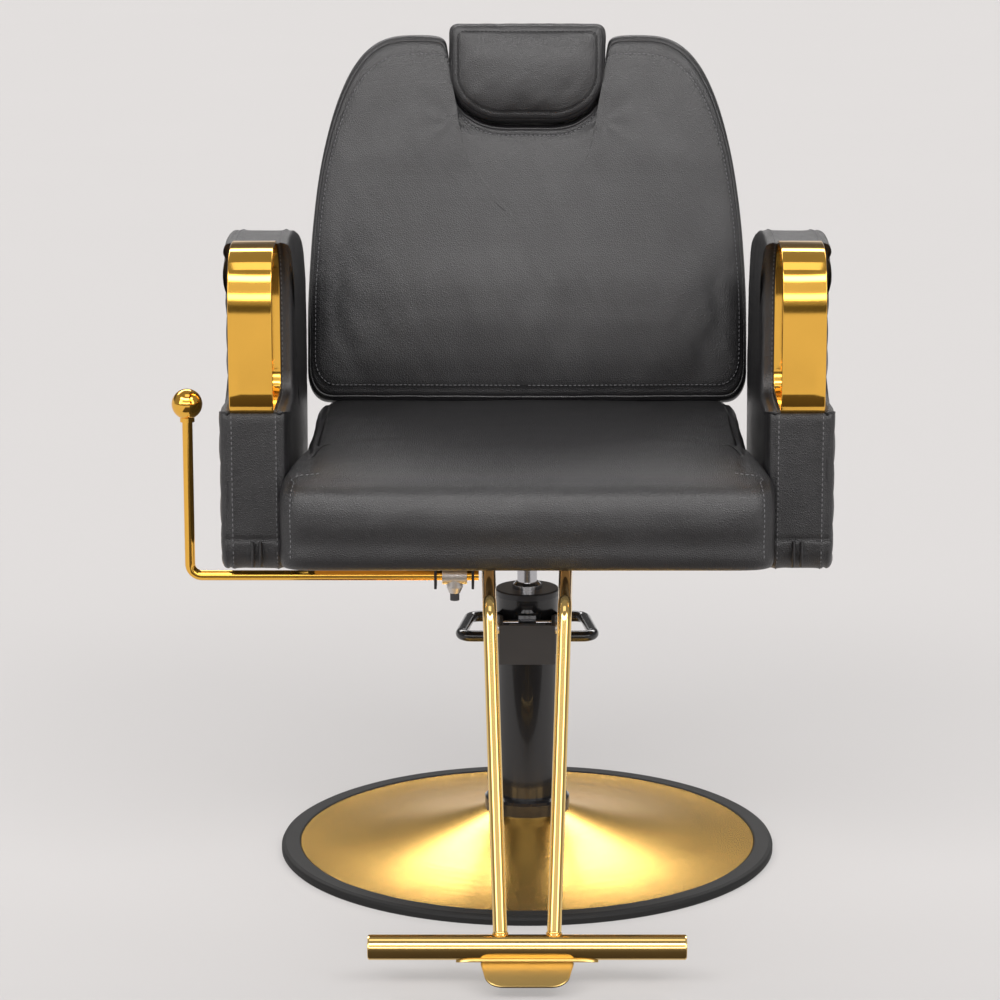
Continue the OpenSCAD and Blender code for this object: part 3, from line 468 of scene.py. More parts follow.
class Shader(Nodes):
    """A material under one Principled shader."""

    def __init__(self, name, **constants):
        self.material = bpy.data.materials.new(name)
        self.material.use_nodes = True
        super().__init__(self.material.node_tree)
        self.tree.nodes.clear()
        out = self.tree.nodes.new("ShaderNodeOutputMaterial")
        self.surface = self.tree.nodes.new("ShaderNodeBsdfPrincipled")
        self.tree.links.new(self.surface.outputs[0], out.inputs[0])
        self.put(**constants)

    def place(self):
        return self.node("TexCoord", output="Object")

    def noise(self, scale, detail=3.0, rough=0.5, vector=None):
        feeds = {"Scale": scale, "Detail": detail, "Roughness": rough,
                 "Vector": vector or self.place()}
        return self.node("TexNoise", None, feeds)

    def blend(self, share, a, b):
        return self.node("Mix", {"data_type": "RGBA"}, {0: share, 6: a, 7: b}, output=2)

    def bump(self, height, depth):
        feeds = {"Height": height, "Distance": depth, "Strength": 1.0}
        return self.node("Bump", None, feeds)

    def put(self, **feeds):
        for key, value in feeds.items():
            self._feed(self.surface.inputs[key.replace("_", " ")], value)
        return self.material

    def dress(self, colour, share, dark, light, rough, height, depth):
        """A colour between a darker and a lighter tone, a roughness and a bump."""
        tint = self.blend(share, tone(colour, dark), tone(colour, light))
        return self.put(Base_Color=tint, Roughness=rough, Normal=self.bump(height, depth))


def tone(colour, share):
    """A colour made lighter or darker by a share."""
    return (*[min(1.0, c * share) for c in colour[:3]], 1.0)


def leather(name, colour, grain):
    """Coated black leather: pebbles from cell edges, pores and slow creases, each with its own
    gloss, and painted shade that darkens the valleys between the pebbles."""
    s = Shader(name, IOR=1.5, Specular_IOR_Level=0.72)
    cells = s.node("TexVoronoi", {"feature": "DISTANCE_TO_EDGE"},
                   {"Vector": s.place(), "Scale": 1 / (grain * MM), "Randomness": 0.9})
    pebble = s.math("MINIMUM", cells * 3.0, 1.0)
    pores = s.noise(2600.0, 2.0, 0.6)
    crease = s.noise(34.0, 5.0, 0.6)
    slow = s.noise(6.0, 3.0, 0.55)
    height = pebble * 0.6 + pores * 0.25 + crease * 0.5
    shade = s.blend(slow, tone(colour, 0.82), tone(colour, 1.22))
    # painted shade: where pebble is low, in the valleys between the pebbles, the colour takes a
    # darker tone
    shade = s.blend(pebble * 0.5 + 0.35, tone(colour, 0.7), shade)
    rough = 0.28 + slow * 0.1 + (1 - pebble) * 0.12
    return s.put(Base_Color=shade, Roughness=rough, Normal=s.bump(height, 0.0004))


def thread(name, colour):
    """Twisted sewing thread."""
    s = Shader(name)
    twist = s.noise(1500.0, 2.0)
    return s.dress(colour, twist, 0.7, 1.3, 0.55 + twist * 0.2, twist, 0.0002)


def plated(name, colour, rough, wave=0.00003):
    """Polished plating: a slow waviness under the mirror and a haze of fine wipe marks."""
    s = Shader(name, Metallic=1.0)
    slow = s.noise(26.0, 3.0)
    haze = s.noise(420.0, 3.0, 0.6)
    gloss = rough + haze * 0.05 + slow * 0.03
    return s.dress(colour, slow, 0.93, 1.05, gloss, slow, wave)


def satin(name, colour):
    """The same plating in a darker tone with a dull polish."""
    return plated(name, tone(colour, 0.72), 0.3)


def spun_gold(name, colour):
    """Satin gold turned on a lathe: fine rings tip the surface along the radius, the u of
    the piece's own UV map, so that light spreads into fans from the middle."""
    s = Shader(name, Metallic=1.0)
    x, y = (s.node("SeparateXYZ", None, {0: s.place()}, output=k) for k in range(2))
    radius = (x * x + y * y) ** 0.5
    ring, broad = (
        s.node("TexNoise", {"noise_dimensions": "1D"},
               {"W": radius, "Scale": scale, "Detail": detail, "Roughness": rough})
        for scale, detail, rough in ((5200.0, 2.0, 0.6), (150.0, 3.0, 0.5)))
    cloud = s.noise(9.0, 3.0)
    tint = s.blend(broad * 0.5 + cloud * 0.5, tone(colour, 0.88), tone(colour, 1.1))
    tip = s.node("CombineColor", None, {0: 0.5 + (ring - 0.5) * 0.42, 1: 0.5, 2: 1.0})
    turned_face = s.node("NormalMap", {"uv_map": "turning"}, {"Color": tip})
    return s.put(Base_Color=tint, Roughness=0.2 + cloud * 0.06, Normal=turned_face)


def enamel(name, colour, rough, coat):
    """Sprayed enamel with a faint orange peel under its gloss."""
    s = Shader(name, Specular_IOR_Level=0.3, Coat_Weight=coat, Coat_Roughness=0.05)
    skin = s.noise(220.0, 2.0)
    dust = s.noise(14.0, 4.0)
    return s.dress(colour, dust, 0.8, 1.3, rough + dust * 0.08, skin, 0.00004)


def powder(name, colour, rough):
    """Powder coat: a fine pebble and softly uneven gloss."""
    s = Shader(name, Specular_IOR_Level=0.35)
    grit = s.noise(900.0, 3.0)
    slow = s.noise(12.0, 3.0)
    return s.dress(colour, slow, 0.85, 1.2, rough + grit * 0.12, grit, 0.00008)


def rubber(name, colour):
    """Moulded rubber, matt with worn, slightly paler patches."""
    s = Shader(name, Specular_IOR_Level=0.25)
    grit = s.noise(700.0, 4.0, 0.65)
    worn = s.noise(8.0, 5.0, 0.6)
    return s.dress(colour, worn, 0.8, 1.5, 0.56 + worn * 0.16, grit, 0.00012)


def bare_metal(name, colour, rough, brushed=60.0):
    """Machined or cast metal: streaks across the tool's way and a soft mottling."""
    s = Shader(name, Metallic=1.0)
    way = s.node("Mapping", None, {"Vector": s.place(), "Scale": (brushed, 6.0, 6.0)})
    streak = s.noise(14.0, 4.0, 0.6, way)
    mottle = s.noise(60.0, 3.0)
    return s.dress(colour, mottle, 0.85, 1.12, rough + streak * 0.12, streak, 0.00005)


def plywood(name, colour):
    """Birch ply: long grain along X with the plies' lines on the edges."""
    s = Shader(name)
    way = s.node("Mapping", None, {"Vector": s.place(), "Scale": (1.5, 14.0, 14.0)})
    grain = s.noise(6.0, 6.0, 0.65, way)
    plies = s.node("TexWave", {"bands_direction": "Z"},
                   {"Vector": s.place(), "Scale": 180.0, "Distortion": 0.6})
    mix = grain * 0.75 + plies * 0.25
    return s.dress(colour, mix, 0.72, 1.15, 0.55 + grain * 0.2, grain, 0.0003)


# each finish: its maker, what the maker is given, and last the carried nodes it dresses
FINISHES = {
    "black_leather": (leather, "leather_colour", "grain", "back_cover"),
    "seam_thread": (thread, (0.11, 0.11, 0.115), ""),
    "dark_thread": (thread, (0.003, 0.003, 0.003), ""),
    "polished_gold": (plated, "gold_colour", "gold_roughness", "recline_rod lever_ball"),
    "pale_gold": (plated, "tube_colour", "gold_roughness", 0.00001,
                  "footrest_bar footrest_caps"),
    "satin_gold": (satin, "tube_colour", "toe_plate"),
    "spun_gold": (spun_gold, "dish_colour", ""),
    "black_enamel": (enamel, (0.008, 0.008, 0.009), 0.16, 0.6,
                     "base_collar pump_cylinder gas_cylinder"),
    "cap_enamel": (enamel, (0.022, 0.022, 0.024), 0.3, 0.25, "pump_cap"),
    "satin_black": (powder, (0.025, 0.025, 0.028), 0.42,
                    "mount_plate cross_bars seat_rails arm_brackets hinge_brackets "
                    "lever_bracket crank back_straps headrest_plate"),
    "yoke_grey": (powder, (0.04, 0.038, 0.038), 0.38, "pedal_yoke"),
    "cast_black": (powder, (0.03, 0.03, 0.032), 0.55, "base_hub pump_block"),
    "dark_plastic": (powder, (0.06, 0.06, 0.065), 0.5, "release_plug post_guides"),
    "rim_rubber": (rubber, (0.009, 0.009, 0.009), "base_rim piston_seal"),
    "chrome_plate": (plated, (0.5, 0.5, 0.52), 0.1,
                     "rod_gland plunger piston_rod gas_rod headrest_posts"),
    "zinc_plate": (bare_metal, (0.62, 0.62, 0.64), 0.3,
                   "hub_bolts lever_pin plate_bolts arm_bolts gas_pin hinge_shaft"),
    "machined_steel": (bare_metal, (0.5, 0.5, 0.52), 0.28,
                       "pump_barrel retaining_ring piston shaft_clips"),
    "cast_silver": (bare_metal, (0.66, 0.63, 0.6), 0.36, 9.0, "release_head"),
    "bronze": (bare_metal, (0.62, 0.42, 0.2), 0.3, "thrust_washer"),
    "birch_ply": (plywood, (0.58, 0.42, 0.25), "seat_board back_board"),
}
MATERIALS = {}


def finish(name):
    """The finish kept under a name, made on first use. A word in its row is a setting."""
    if name not in MATERIALS:
        kit = bpy.context.scene.chair_finish
        maker, *values, _ = FINISHES[name]
        values = [getattr(kit, v) if isinstance(v, str) else v for v in values]
        MATERIALS[name] = maker(name, *values)
    return MATERIALS[name]


# ---------- properties ----------

def colour_of(what, default):
    """A colour setting."""
    return FloatVectorProperty(name=what, description="Colour of the " + what.lower(),
                               subtype="COLOR", default=default, min=0, max=1)


def amount(what, text, default, least=0.0, most=1000.0):
    """A plain number setting."""
    return FloatProperty(name=what, description=text, default=default, min=least, max=most)


class ChairFinish(bpy.types.PropertyGroup):
    """Colours and finishes."""
    leather_colour: colour_of("Leather", (0.0075, 0.0071, 0.0084))
    grain: amount("Grain", "Size of the leather's pebbles in millimetres", 2.3, 0.5, 6)
    gold_colour: colour_of("Polished gold", (0.95, 0.53, 0.09))
    tube_colour: colour_of("Plated tubes and bars", (0.90, 0.62, 0.22))
    gold_roughness: amount("Gold gloss", "Roughness of the polished plating", 0.055, 0, 1)
    dish_colour: colour_of("Satin dish", (0.90, 0.54, 0.12))


class ChairPadding(bpy.types.PropertyGroup):
    """Padding and sewing."""
    seam_depth: amount("Seam depth", "Depth of a sewn seam in millimetres", 2.2, 0, 6)
    quilt_pitch: amount("Quilt pitch", "Spacing of the quilting lines in millimetres",
                        72, 30, 120)
    quilt_depth: amount("Quilt depth", "Depth of the quilting in millimetres", 7, 1, 12)
    outline_points: IntProperty(
        name="Outline points", description="Points round a cushion's outline",
        default=320, min=60, max=600)


class ChairStudio(bpy.types.PropertyGroup):
    """Camera and light."""
    eye: FloatVectorProperty(
        name="Camera", description="Place of the camera", subtype="TRANSLATION",
        unit="LENGTH", default=(0.0, -4.50, 1.468))
    pitch: FloatProperty(
        name="Pitch", description="Angle of the view below the horizon", subtype="ANGLE",
        default=math.radians(12.94))
    lens: amount("Lens", "Focal length in millimetres", 138.5, 10)
    shift: amount("Shift", "Sideways shift of the frame", -0.0272, -1, 1)
    key_power: amount("Panels", "Power of each soft panel in watts", 10)
    fill: amount("Walls", "Brightness of the studio's walls", 0.32)
    haze: amount("Horizon", "Brightness of the horizon behind", 0.5)
    box: amount("Front box", "Brightness of the soft box over the camera", 5.2)
    key: amount("Key", "Brightness of the wide light high in front", 9.0)
    windows: amount("Windows", "Brightness of the tall windows", 1.6)
    bank: amount("Rear bank", "Brightness of the bank behind the chair", 9.0)


# ---------- operators ----------

def settings():
    """The scene's three groups of settings."""
    scene = bpy.context.scene
    return scene.chair_finish, scene.chair_padding, scene.chair_studio


def lay_floor():
    """A wide flat floor, and a dark card in front that only reflections see."""
    cards = [
        ("floor", (-30000, -30000, 30000, 30000, 0), (0.25, 0.243, 0.241), 0.36),
        ("dark_card", (-750, -2500, 750, -500, 4), (0.05, 0.042, 0.035), 0.0),
    ]
    for name, (x0, y0, x1, y1, z), tint, glow in cards:
        verts = [(x0, y0, z), (x1, y0, z), (x1, y1, z), (x0, y1, z)]
        made = linked(name, mesh_of(name, verts, [[0, 1, 2, 3]]))
        s = Shader(name + "_paint", Specular_IOR_Level=0.2, Emission_Strength=glow,
                   Emission_Color=(0.98, 0.955, 0.945, 1))
        paint = s.blend(s.noise(1.5, 2.0), tone(tint, 0.985), tone(tint, 1.015))
        made.data.materials.append(s.put(Base_Color=paint, Roughness=0.9))
        if name == "dark_card":
            made.visible_camera = made.visible_shadow = False
            made.visible_diffuse = made.visible_transmission = False


def hang_sky(context, studio):
    """The studio as a surround: dim walls, a dark strip at the horizon in front, a soft
    box over the camera with a wide key light higher up, two tall windows beside it, and
    a bright bank and a pale horizon behind."""
    world = bpy.data.worlds.new("studio_world")
    context.scene.world = world
    world.use_nodes = True
    net = Nodes(world.node_tree)
    way = net.node("TexCoord", output="Generated")
    x, y, up = (net.node("SeparateXYZ", None, {0: way}, output=k) for k in range(3))
    flat = net.math("MAXIMUM", (x * x + y * y) ** 0.5, 0.001)
    ahead = (0 - y) / flat
    beside = net.math("ABSOLUTE", x) / flat
    behind = 0 - ahead

    def patch(side, bottom, top, soft, start, stop):
        """A band of heights on one side of the chair, which fades in sideways."""
        return net.window(up, bottom, top, soft) * net.step(side, start, stop)

    level = studio.fill * (1 - 0.7 * patch(ahead, -0.02, 0.1, 0.02, 0.3, 0.6))
    level = level * (1 - 0.65 * patch(behind, 0.12, 0.44, 0.04, 0.1, 0.6))
    lit = [(studio.haze, behind, -0.1, 0.12, 0.06, 0.0, 0.5),
           (studio.key, ahead, 0.65, 0.79, 0.04, 0.3, 0.6),
           (studio.haze, ahead, 0.3, 0.62, 0.04, 0.5, 0.8),
           (studio.box, ahead, 0.2, 0.32, 0.03, 0.78, 0.88),
           (studio.bank, behind, 0.55, 0.69, 0.03, 0.45, 0.8)]
    for power, *where in lit:
        level = level + power * patch(*where)
    tall = patch(ahead, 0.1, 0.75, 0.04, 0.0, 0.1)
    tall = tall * net.window(beside, 0.62, 0.84, 0.03)
    level = level + studio.windows * tall
    back = world.node_tree.nodes["Background"]
    back.inputs[0].default_value = (0.95, 0.93, 0.92, 1)
    net.tree.links.new(level.socket, back.inputs[1])


def hang_lights(studio):
    """Soft panels at both sides and overhead."""
    power = studio.key_power
    panels = [(f"{tag}_panel", (2.6 * side, -2.4, 1.9), (0, 0, 0.6), 1.2, 1.6, power)
              for side, tag in SIDES]
    panels.append(("top_panel", (0, -0.6, 2.9), (0, -0.1, 0.5), 1.6, 0.9, power / 2))
    for name, eye, aim, wide, tall, power in panels:
        data = bpy.data.lights.new(name, "AREA")
        data.shape = "RECTANGLE"
        data.size, data.size_y, data.energy = wide, tall, power
        light = linked(name, data)
        light.location = eye
        x, y, z = np.subtract(aim, eye)
        light.rotation_euler = (math.atan2(math.hypot(x, y), -z), 0,
                                math.atan2(y, x) - math.pi / 2)


class CHAIR_OT_stage(bpy.types.Operator):
    """Sets the camera, the pale floor and the soft studio lights"""
    bl_idname = "chair.stage"
    bl_label = "Stage"

    def execute(self, context):
        studio = context.scene.chair_studio
        data = bpy.data.cameras.new("view_camera")
        camera = linked("view_camera", data)
        camera.location = studio.eye
        camera.rotation_euler = (math.pi / 2 - studio.pitch, 0, 0)
        data.sensor_width = 36
        data.lens = studio.lens
        data.shift_x = studio.shift
        context.scene.camera = camera
        lay_floor()
        hang_lights(studio)
        hang_sky(context, studio)
        context.scene.view_settings.view_transform = "Standard"
        return {"FINISHED"}


class CHAIR_OT_finishes(bpy.types.Operator):
    """Gives each carried node of the frame its finish"""
    bl_idname = "chair.finishes"
    bl_label = "Finishes"

    def execute(self, context):
        for name, (*_, nodes) in FINISHES.items():
            for node in nodes.split():
                data = frame["nodes"][node].data
                data.materials.clear()
                data.materials.append(finish(name))
        return {"FINISHED"}


def seat_hold(at):
    """The underside, the sides and the strip under the back are held; the top and the
    front are free."""
    low_edge = (SEAT_LOW[2] + 26 - at[:, 2]) / 14
    side = (np.abs(at[:, 0]) - 238) / 16
    rear = (at[:, 1] - 118) / 40
    return np.maximum(np.maximum(low_edge, side), rear)


def seat_puff(rows, front):
    """The bolster's front face bulges between its ends by a cosine across and up."""
    x, y, z = rows[..., 0], rows[..., 1], rows[..., 2]
    across = np.cos(np.clip(x / 300, -1, 1) * math.pi / 2)
    up = np.sin(np.clip((z - SEAT_LOW[2]) / SEAT_THICK, 0, 1) * math.pi)
    near = np.clip(1 - (y - front) / 30, 0, 1)
    out = np.zeros_like(rows)
    out[..., 1] = -2.5 * across * up * near + 2.2 * near
    return out


class CHAIR_OT_seat(bpy.types.Operator):
    """Makes the seat cushion with its front bolster and sewn side panels"""
    bl_idname = "chair.seat"
    bl_label = "Seat"

    def execute(self, context):
        _, pad, _ = settings()
        b, w = SEAT_HIGH[0] + 1.5, 262.0      # half widths of the bolster and behind it
        front, rear, r = SEAT_LOW[1], SEAT_HIGH[1], 26
        lip = front + 50                      # where the bolster steps in
        outline = mirrored([
            [[0, front]], arc(b - r, front + r, r, -90, 0, 6),
            [[b - 1, lip - 12], [b - 8, lip - 2], [w + 1, lip + 6], [w, lip + 30],
             [w - 2, 0], [w - 3, rear - 60]],
            arc(w - 8 - r, rear - r, r, 8, 90, 5), [[0, rear]]])
        outline = relaxed(even(outline, pad.outline_points), 10)
        top = SEAT_THICK + 13.0
        stops = [[0, 0], [0.5, 0], [0.955, 0], [0.985, 3], [0.996, 12], [0.993, 34], [1, 60],
                 [0.993, 80], [0.975, 92], [0.945, 99], [0.89, 104], [0.74, 109],
                 [0.4, 112], [0.15, top], [0, top + 0.5]]
        a, y, h, t, at = pad_grid(outline, stops, 150, (0, 0), core=0.82)
        slope = 7 / (rear - front)
        rise = np.clip(h / SEAT_THICK, 0, 1)
        rows = np.stack([a, y, SEAT_LOW[2] + 0.5 + h + slope * y * rise], -1)
        rows += seat_puff(rows, front)
        rows = swell(rows, seat_hold, 9.0, slack=0.015)
        n = normals_of(rows)
        half = np.interp(rows[..., 1], [front, lip - 8, lip + 8, rear], [b, b, w, w - 4])
        from_seam = np.abs(rows[..., 0]) - (half - 13)
        body = np.clip(rise * 3 - 0.6, 0, 1)
        upper = np.clip((rows[..., 1] - front) / 8, 0, 1)
        cut = dent(from_seam, 2.4) * body * pad.seam_depth + grooves(t, (at[3], 4, 1.2))
        wave = soft_noise(rows, 150, 3) * 1.1 + soft_noise(rows, 46, 4) * 0.35
        rows += n * (wave * rise - cut * (0.55 + 0.45 * upper))[..., None]
        rows[..., 2] = np.maximum(rows[..., 2], SEAT_LOW[2] + 0.2)
        made = piece("seat_upholstery", [closed_skin(rows)], "black_leather", "seat",
                     ["seat_cushion"], sharp=70)
        lines = []
        k = np.arange(*np.searchsorted(t, [at[4], at[11]]))
        for side, _ in SIDES:
            off = np.abs(rows[k][..., 0] - side * (half[k] - 18))
            nearest = (off + 1e4 * (rows[k][..., 1] > lip)).argmin(1)
            lines.append(stitches(rows[k, nearest], n[k, nearest], step=6.0))
        piece("seat_stitches", lines, "seam_thread", "seat")
        return {"FINISHED"}


def back_outline():
    """The back's outline in its own plane, with the round notch for the headrest."""
    w, h, lobe = 273.0, BACK_H + 5, 139
    a = np.radians(np.arange(0, 91, 6))
    corner = np.stack([w - 24 + 24 * np.sin(a), -3 + 36 * (1 - np.cos(a))], 1)
    a = np.radians(np.arange(1, 90, 3))
    lobe_side = np.stack([lobe + (w - lobe) * np.cos(a) ** (2 / 2.9),
                          84 + (h - 84) * np.sin(a)], 1)
    notch = head_outline(1.6)
    return mirrored([[[0, -4]], corner, lobe_side,
                     [[lobe - 15, h], [108, h - 1.5], [101, h - 6], [99, h - 16]],
                     notch[notch[:, 1] < h - 26][::-1]])


def head_outline(grow=0.0):
    """Right half of the headrest's outline grown outwards, bottom centre to top corner: a
    quarter ellipse from the sole to the side, then nearly upright."""
    rx, rz = 66 + grow, 60 + grow
    a = np.radians(np.arange(0, 91, 5))
    base = BACK_H - 106.0
    round_part = np.stack([30.5 + rx * np.sin(a), base + 60 - rz * np.cos(a)], 1)
    return np.vstack([[[0, base - grow]], round_part,
                      [[97 + grow, base + 80], [97 + grow, base + 96]]])


def in_room(x, deep, up):
    """A point of the back's own frame, in the chair's."""
    return (BACK_CORNER + up[..., None] * BACK_UP + deep[..., None] * BACK_REAR
            + x[..., None] * [1.0, 0, 0])


def back_hold(at):
    """The rear, the sides and the rim of the notch are held; the face is free."""
    at = at - BACK_CORNER
    deep, up, x = at @ BACK_REAR, at @ BACK_UP, np.abs(at[:, 0])
    edge = np.maximum((x - 222) / 26, (26 - up) / 20)
    crown = (np.hypot(np.maximum(x - 60, 0) / 205, np.maximum(up - 130, 0) / 315) - 0.86)
    ring = 1 - (np.hypot(x / 112, (up - BACK_H - 20) / 138) - 1) / 0.18
    return np.maximum.reduce([(deep - 4) / 8, edge, crown / 0.1, ring])


class CHAIR_OT_back(bpy.types.Operator):
    """Makes the back cushion with its stitched border and welted headrest notch"""
    bl_idname = "chair.back"
    bl_label = "Back"

    def execute(self, context):
        _, pad, _ = settings()
        outline = relaxed(even(back_outline(), int(pad.outline_points * 1.5)), 4)
        stops = [[0, DEEP], [0.5, DEEP], [0.965, DEEP], [0.985, 59], [0.993, 50],
                 [0.99, 38], [0.998, 26], [0.998, 14], [0.99, 6], [0.972, 1], [0.944, -1.5],
                 [0.90, -5], [0.8, -9], [0.6, -12], [0.3, -14], [0.1, -14.5], [0, -14.5]]
        a, b, h, t, at = pad_grid(outline, stops, 150, (0, 205), core=0.62)
        share = np.clip(np.interp(t, at, [s[0] for s in stops]), 0, 1)[:, None]
        notch = np.clip((112 - np.abs(outline[:, 0])) / 12, 0, 1)
        notch = notch * np.clip((outline[:, 1] - 310) / 25, 0, 1)
        stay = notch * np.clip((h - 3) / 8, 0, 1) * np.clip((share - 0.9) / 0.06, 0, 1)
        a, b = a + (outline[:, 0] - a) * stay, b + (outline[:, 1] - b) * stay
        lumbar = np.exp(-((b - 95) / 80) ** 2) * np.cos(a / 190)
        h = h - 5 * lumbar * np.clip(1 - h / 20, 0, 1)
        rows = swell(in_room(a, h, b), back_hold, 8.0)
        n = normals_of(rows)
        face = np.clip((20 - h) / 20, 0, 1)
        seam, border = at[9] + 1.0, at[10] + 8.0
        cut = grooves(t, (seam, 2.6, pad.seam_depth), (border, 2.2, 1.1), (at[4], 3, 1.5))
        beside, above = np.abs(a) - 92, b - 345       # from the notch's lower corners
        crease = np.exp(-np.hypot(beside, above) / 40) * 0.7
        crease = crease * np.sin(np.arctan2(above, beside) * 7)
        wave = (soft_noise(rows, 170, 11) * 1.5 + soft_noise(rows, 60, 12) * 0.45) * face
        rows = rows + n * ((wave + crease * face - cut) * face.clip(0.3, 1))[..., None]
        made = piece("back_upholstery", [closed_skin(rows)], "black_leather", "back",
                     ["back_cushion"], sharp=70)
        line = stitches(*row_at(rows, n, t, border + 4.5))
        piece("back_stitches", [line], "seam_thread", "back")
        welt = piping(*row_at(rows, n, t, seam), 1.9, -0.1)
        piece("back_welt", [welt], "black_leather", "back")
        return {"FINISHED"}


def head_hold(at):
    """All but the face panel is held."""
    at = at - BACK_CORNER
    return (at @ BACK_REAR + 13) / 5


class CHAIR_OT_headrest(bpy.types.Operator):
    """Makes the headrest pad with its gusset and stitched face panel"""
    bl_idname = "chair.headrest"
    bl_label = "Headrest"

    def execute(self, context):
        _, pad, _ = settings()
        z0, z1 = BACK_H - 106, BACK_H + 17
        outline = mirrored([head_outline(), arc(87, z1 - 10, 10, 0, 90, 5), [[0, z1 + 0.5]]])
        outline = relaxed(even(outline, int(pad.outline_points * 0.75)), 3)
        stops = [[0, DEEP], [0.5, DEEP], [0.975, DEEP], [0.995, 60], [1.0, 54],
                 [0.99, 30], [0.998, 10], [1.0, 0], [0.985, -7], [0.95, -11],
                 [0.88, -14], [0.72, -18], [0.4, -20.5], [0.15, -21.5], [0, -21.5]]
        a, b, h, t, at = pad_grid(outline, stops, 110, (0, (z0 + z1) / 2), core=0.4, scale=80)
        rows = swell(in_room(a, h, b), head_hold, 4.0, pressure=6.0, voxel=7.0)
        n = normals_of(rows)
        face = np.clip((10 - h) / 12, 0, 1)
        seam, inner = at[8] + 2.0, at[10] + 5.0
        cut = grooves(t, (seam, 1.8, pad.seam_depth), (inner, 2.0, 1.0))
        wave = soft_noise(rows, 60, 21) * 0.8 * face
        rows = rows + n * (wave - cut)[..., None]
        made = piece("headrest_upholstery", [closed_skin(rows)], "black_leather",
                     "headrest", ["headrest_pad"], sharp=70)
        line = stitches(*row_at(rows, n, t, inner), step=5.0)
        piece("headrest_stitches", [line], "dark_thread", "headrest")
        welt = piping(*row_at(rows, n, t, seam), 1.7, 0.0)
        piece("headrest_welt", [welt], "black_leather", "headrest")
        return {"FINISHED"}


def band_outline(grow, start=0, stop=360, count=120):
    """Points [y, z] on a band's loop grown outwards: cos and sin each to a power under
    one, which is smaller below the middle, so that the foot is squarer than the top."""
    middle, half = (BAND_LOW + BAND_HIGH) / 2, (BAND_HIGH - BAND_LOW) / 2
    a = np.radians(np.linspace(start, stop, count, endpoint=stop - start < 360))
    c, s = np.cos(a), np.sin(a)
    power = np.where(s < 0, 0.77 - 0.5 * np.clip(-s * 3, 0, 1), 0.7)
    tall = half[2] + grow + np.where(s > 0, 7.0, 9.0)
    return np.stack([middle[1] + (half[1] + grow) * np.sign(c) * np.abs(c) ** power,
                     middle[2] + tall * np.sign(s) * np.abs(s) ** power], 1)


def arm_outline():
    """Side outline as [y, z]: rounded foot, sloping rear, top, and the band's notch."""
    z, top = ARM_LOW[2], ARM_HIGH[2] + 9
    lift = low("arm_band_right")[2]
    crest_y, crest_r, hip, dip = 131, 80, z + 202, 30
    a = np.radians(np.arange(12, 78, 5))
    crest = np.stack([crest_y + crest_r * np.cos(a), hip + (top - dip - hip) * np.sin(a)], 1)
    ease = np.linspace(0.1, 1, 12)
    ridge = np.stack([crest_y - 184 * ease,
                      top - dip + 2 + 27 * np.sin(np.radians(88 * ease))], 1)
    notch = band_outline(0.6, 66, -128, 60)
    return np.vstack([arc(-182, z + 28, 28, 180, 270, 6), arc(165, z + 34, 34, 270, 360, 6),
                      [[202, z + 76], [211, z + 200]], crest, ridge, notch,
                      [[-206, lift - 1], [-210, lift - 8]]])


def zip_folds(side, tag):
    """Two short upright folds that close the cover at the foot of the front strip."""
    parts = []
    x_mid = (ARM_LOW[0] + ARM_HIGH[0]) / 2 - 2
    for dx in (-5.5, 3.5):
        s = np.linspace(0, 1, 24)
        path = np.stack([np.full(24, side * (x_mid + dx)),
                         ARM_LOW[1] - 0.4 + 7 * (1 - s) ** 4,
                         ARM_LOW[2] + 10 + 30 * s], 1)
        parts.append(swept(path, circle(2.1, 12), (side, 0, 0)))
    piece(f"arm_zip_{tag}", parts, "black_leather", "seat")


class CHAIR_OT_arms(bpy.types.Operator):
    """Makes the arm pads: quilted outside, smooth inside, with a stitched border strip"""
    bl_idname = "chair.arms"
    bl_label = "Arms"

    def execute(self, context):
        _, pad, _ = settings()
        outline = relaxed(even(arm_outline(), int(pad.outline_points * 1.6)), 3)
        x_in, x_out = ARM_LOW[0], ARM_HIGH[0]
        thick, beside_seat = x_out - x_in, 480
        stops = [[0, 0], [0.5, 0], [0.9, 0.3], [0.955, 1.6], [0.985, 5], [0.993, 9.5],
                 [0.988, 18], [0.986, 38], [0.988, thick - 20], [0.993, thick - 12],
                 [0.985, thick - 6], [0.955, thick - 2], [0.88, thick - 0.4], [0.5, thick],
                 [0.1, thick], [0, thick]]
        y, z, h, t, at = pad_grid(outline, stops, 190, (20, ARM_LOW[2] + 147), scale=230)
        share = np.clip(np.interp(t, at, [s[0] for s in stops]), 0, 1)[:, None]
        outer = np.clip((h - thick + 8) / 8, 0, 1)
        inner = np.clip((8 - h) / 8, 0, 1)
        u = np.cos(np.pi * (y + z) / pad.quilt_pitch)
        v = np.cos(np.pi * (y - z) / pad.quilt_pitch)
        pillow = 1 - np.abs(u * v) ** 0.3
        fade = np.clip((0.97 - share) / 0.05, 0, 1)
        quilt = pad.quilt_depth * pillow * outer * fade
        for side, tag in SIDES:
            rows = np.stack([(x_in + h - quilt) * side, y, z], -1)
            n = normals_of(rows)
            cut = grooves(t, *[(at[k], 2.0, pad.seam_depth) for k in (5, 9)])
            wave = soft_noise(rows, 120, 31) * 0.9 * inner + soft_noise(rows, 40, 32) * 0.3
            strip = (1 - outer) * (1 - inner)
            floor_fold = dent(z - ARM_LOW[2] - 42, 2.0) * 1.6 * strip * (y < -150)
            held = 1 - (np.abs(z - beside_seat) < 60) * inner
            rows = rows + n * (wave * held - cut - floor_fold)[..., None]
            made = piece(f"arm_upholstery_{tag}", [closed_skin(rows)], "black_leather",
                         "seat", [f"arm_pad_{tag}"], sharp=60)
            lines = [stitches(*row_at(rows, n, t, place), step=6.0)
                     for place in (at[5] + 4.5, at[9] - 4.5)]
            piece(f"arm_stitches_{tag}", lines, "seam_thread", "seat")
            zip_folds(side, tag)
        return {"FINISHED"}


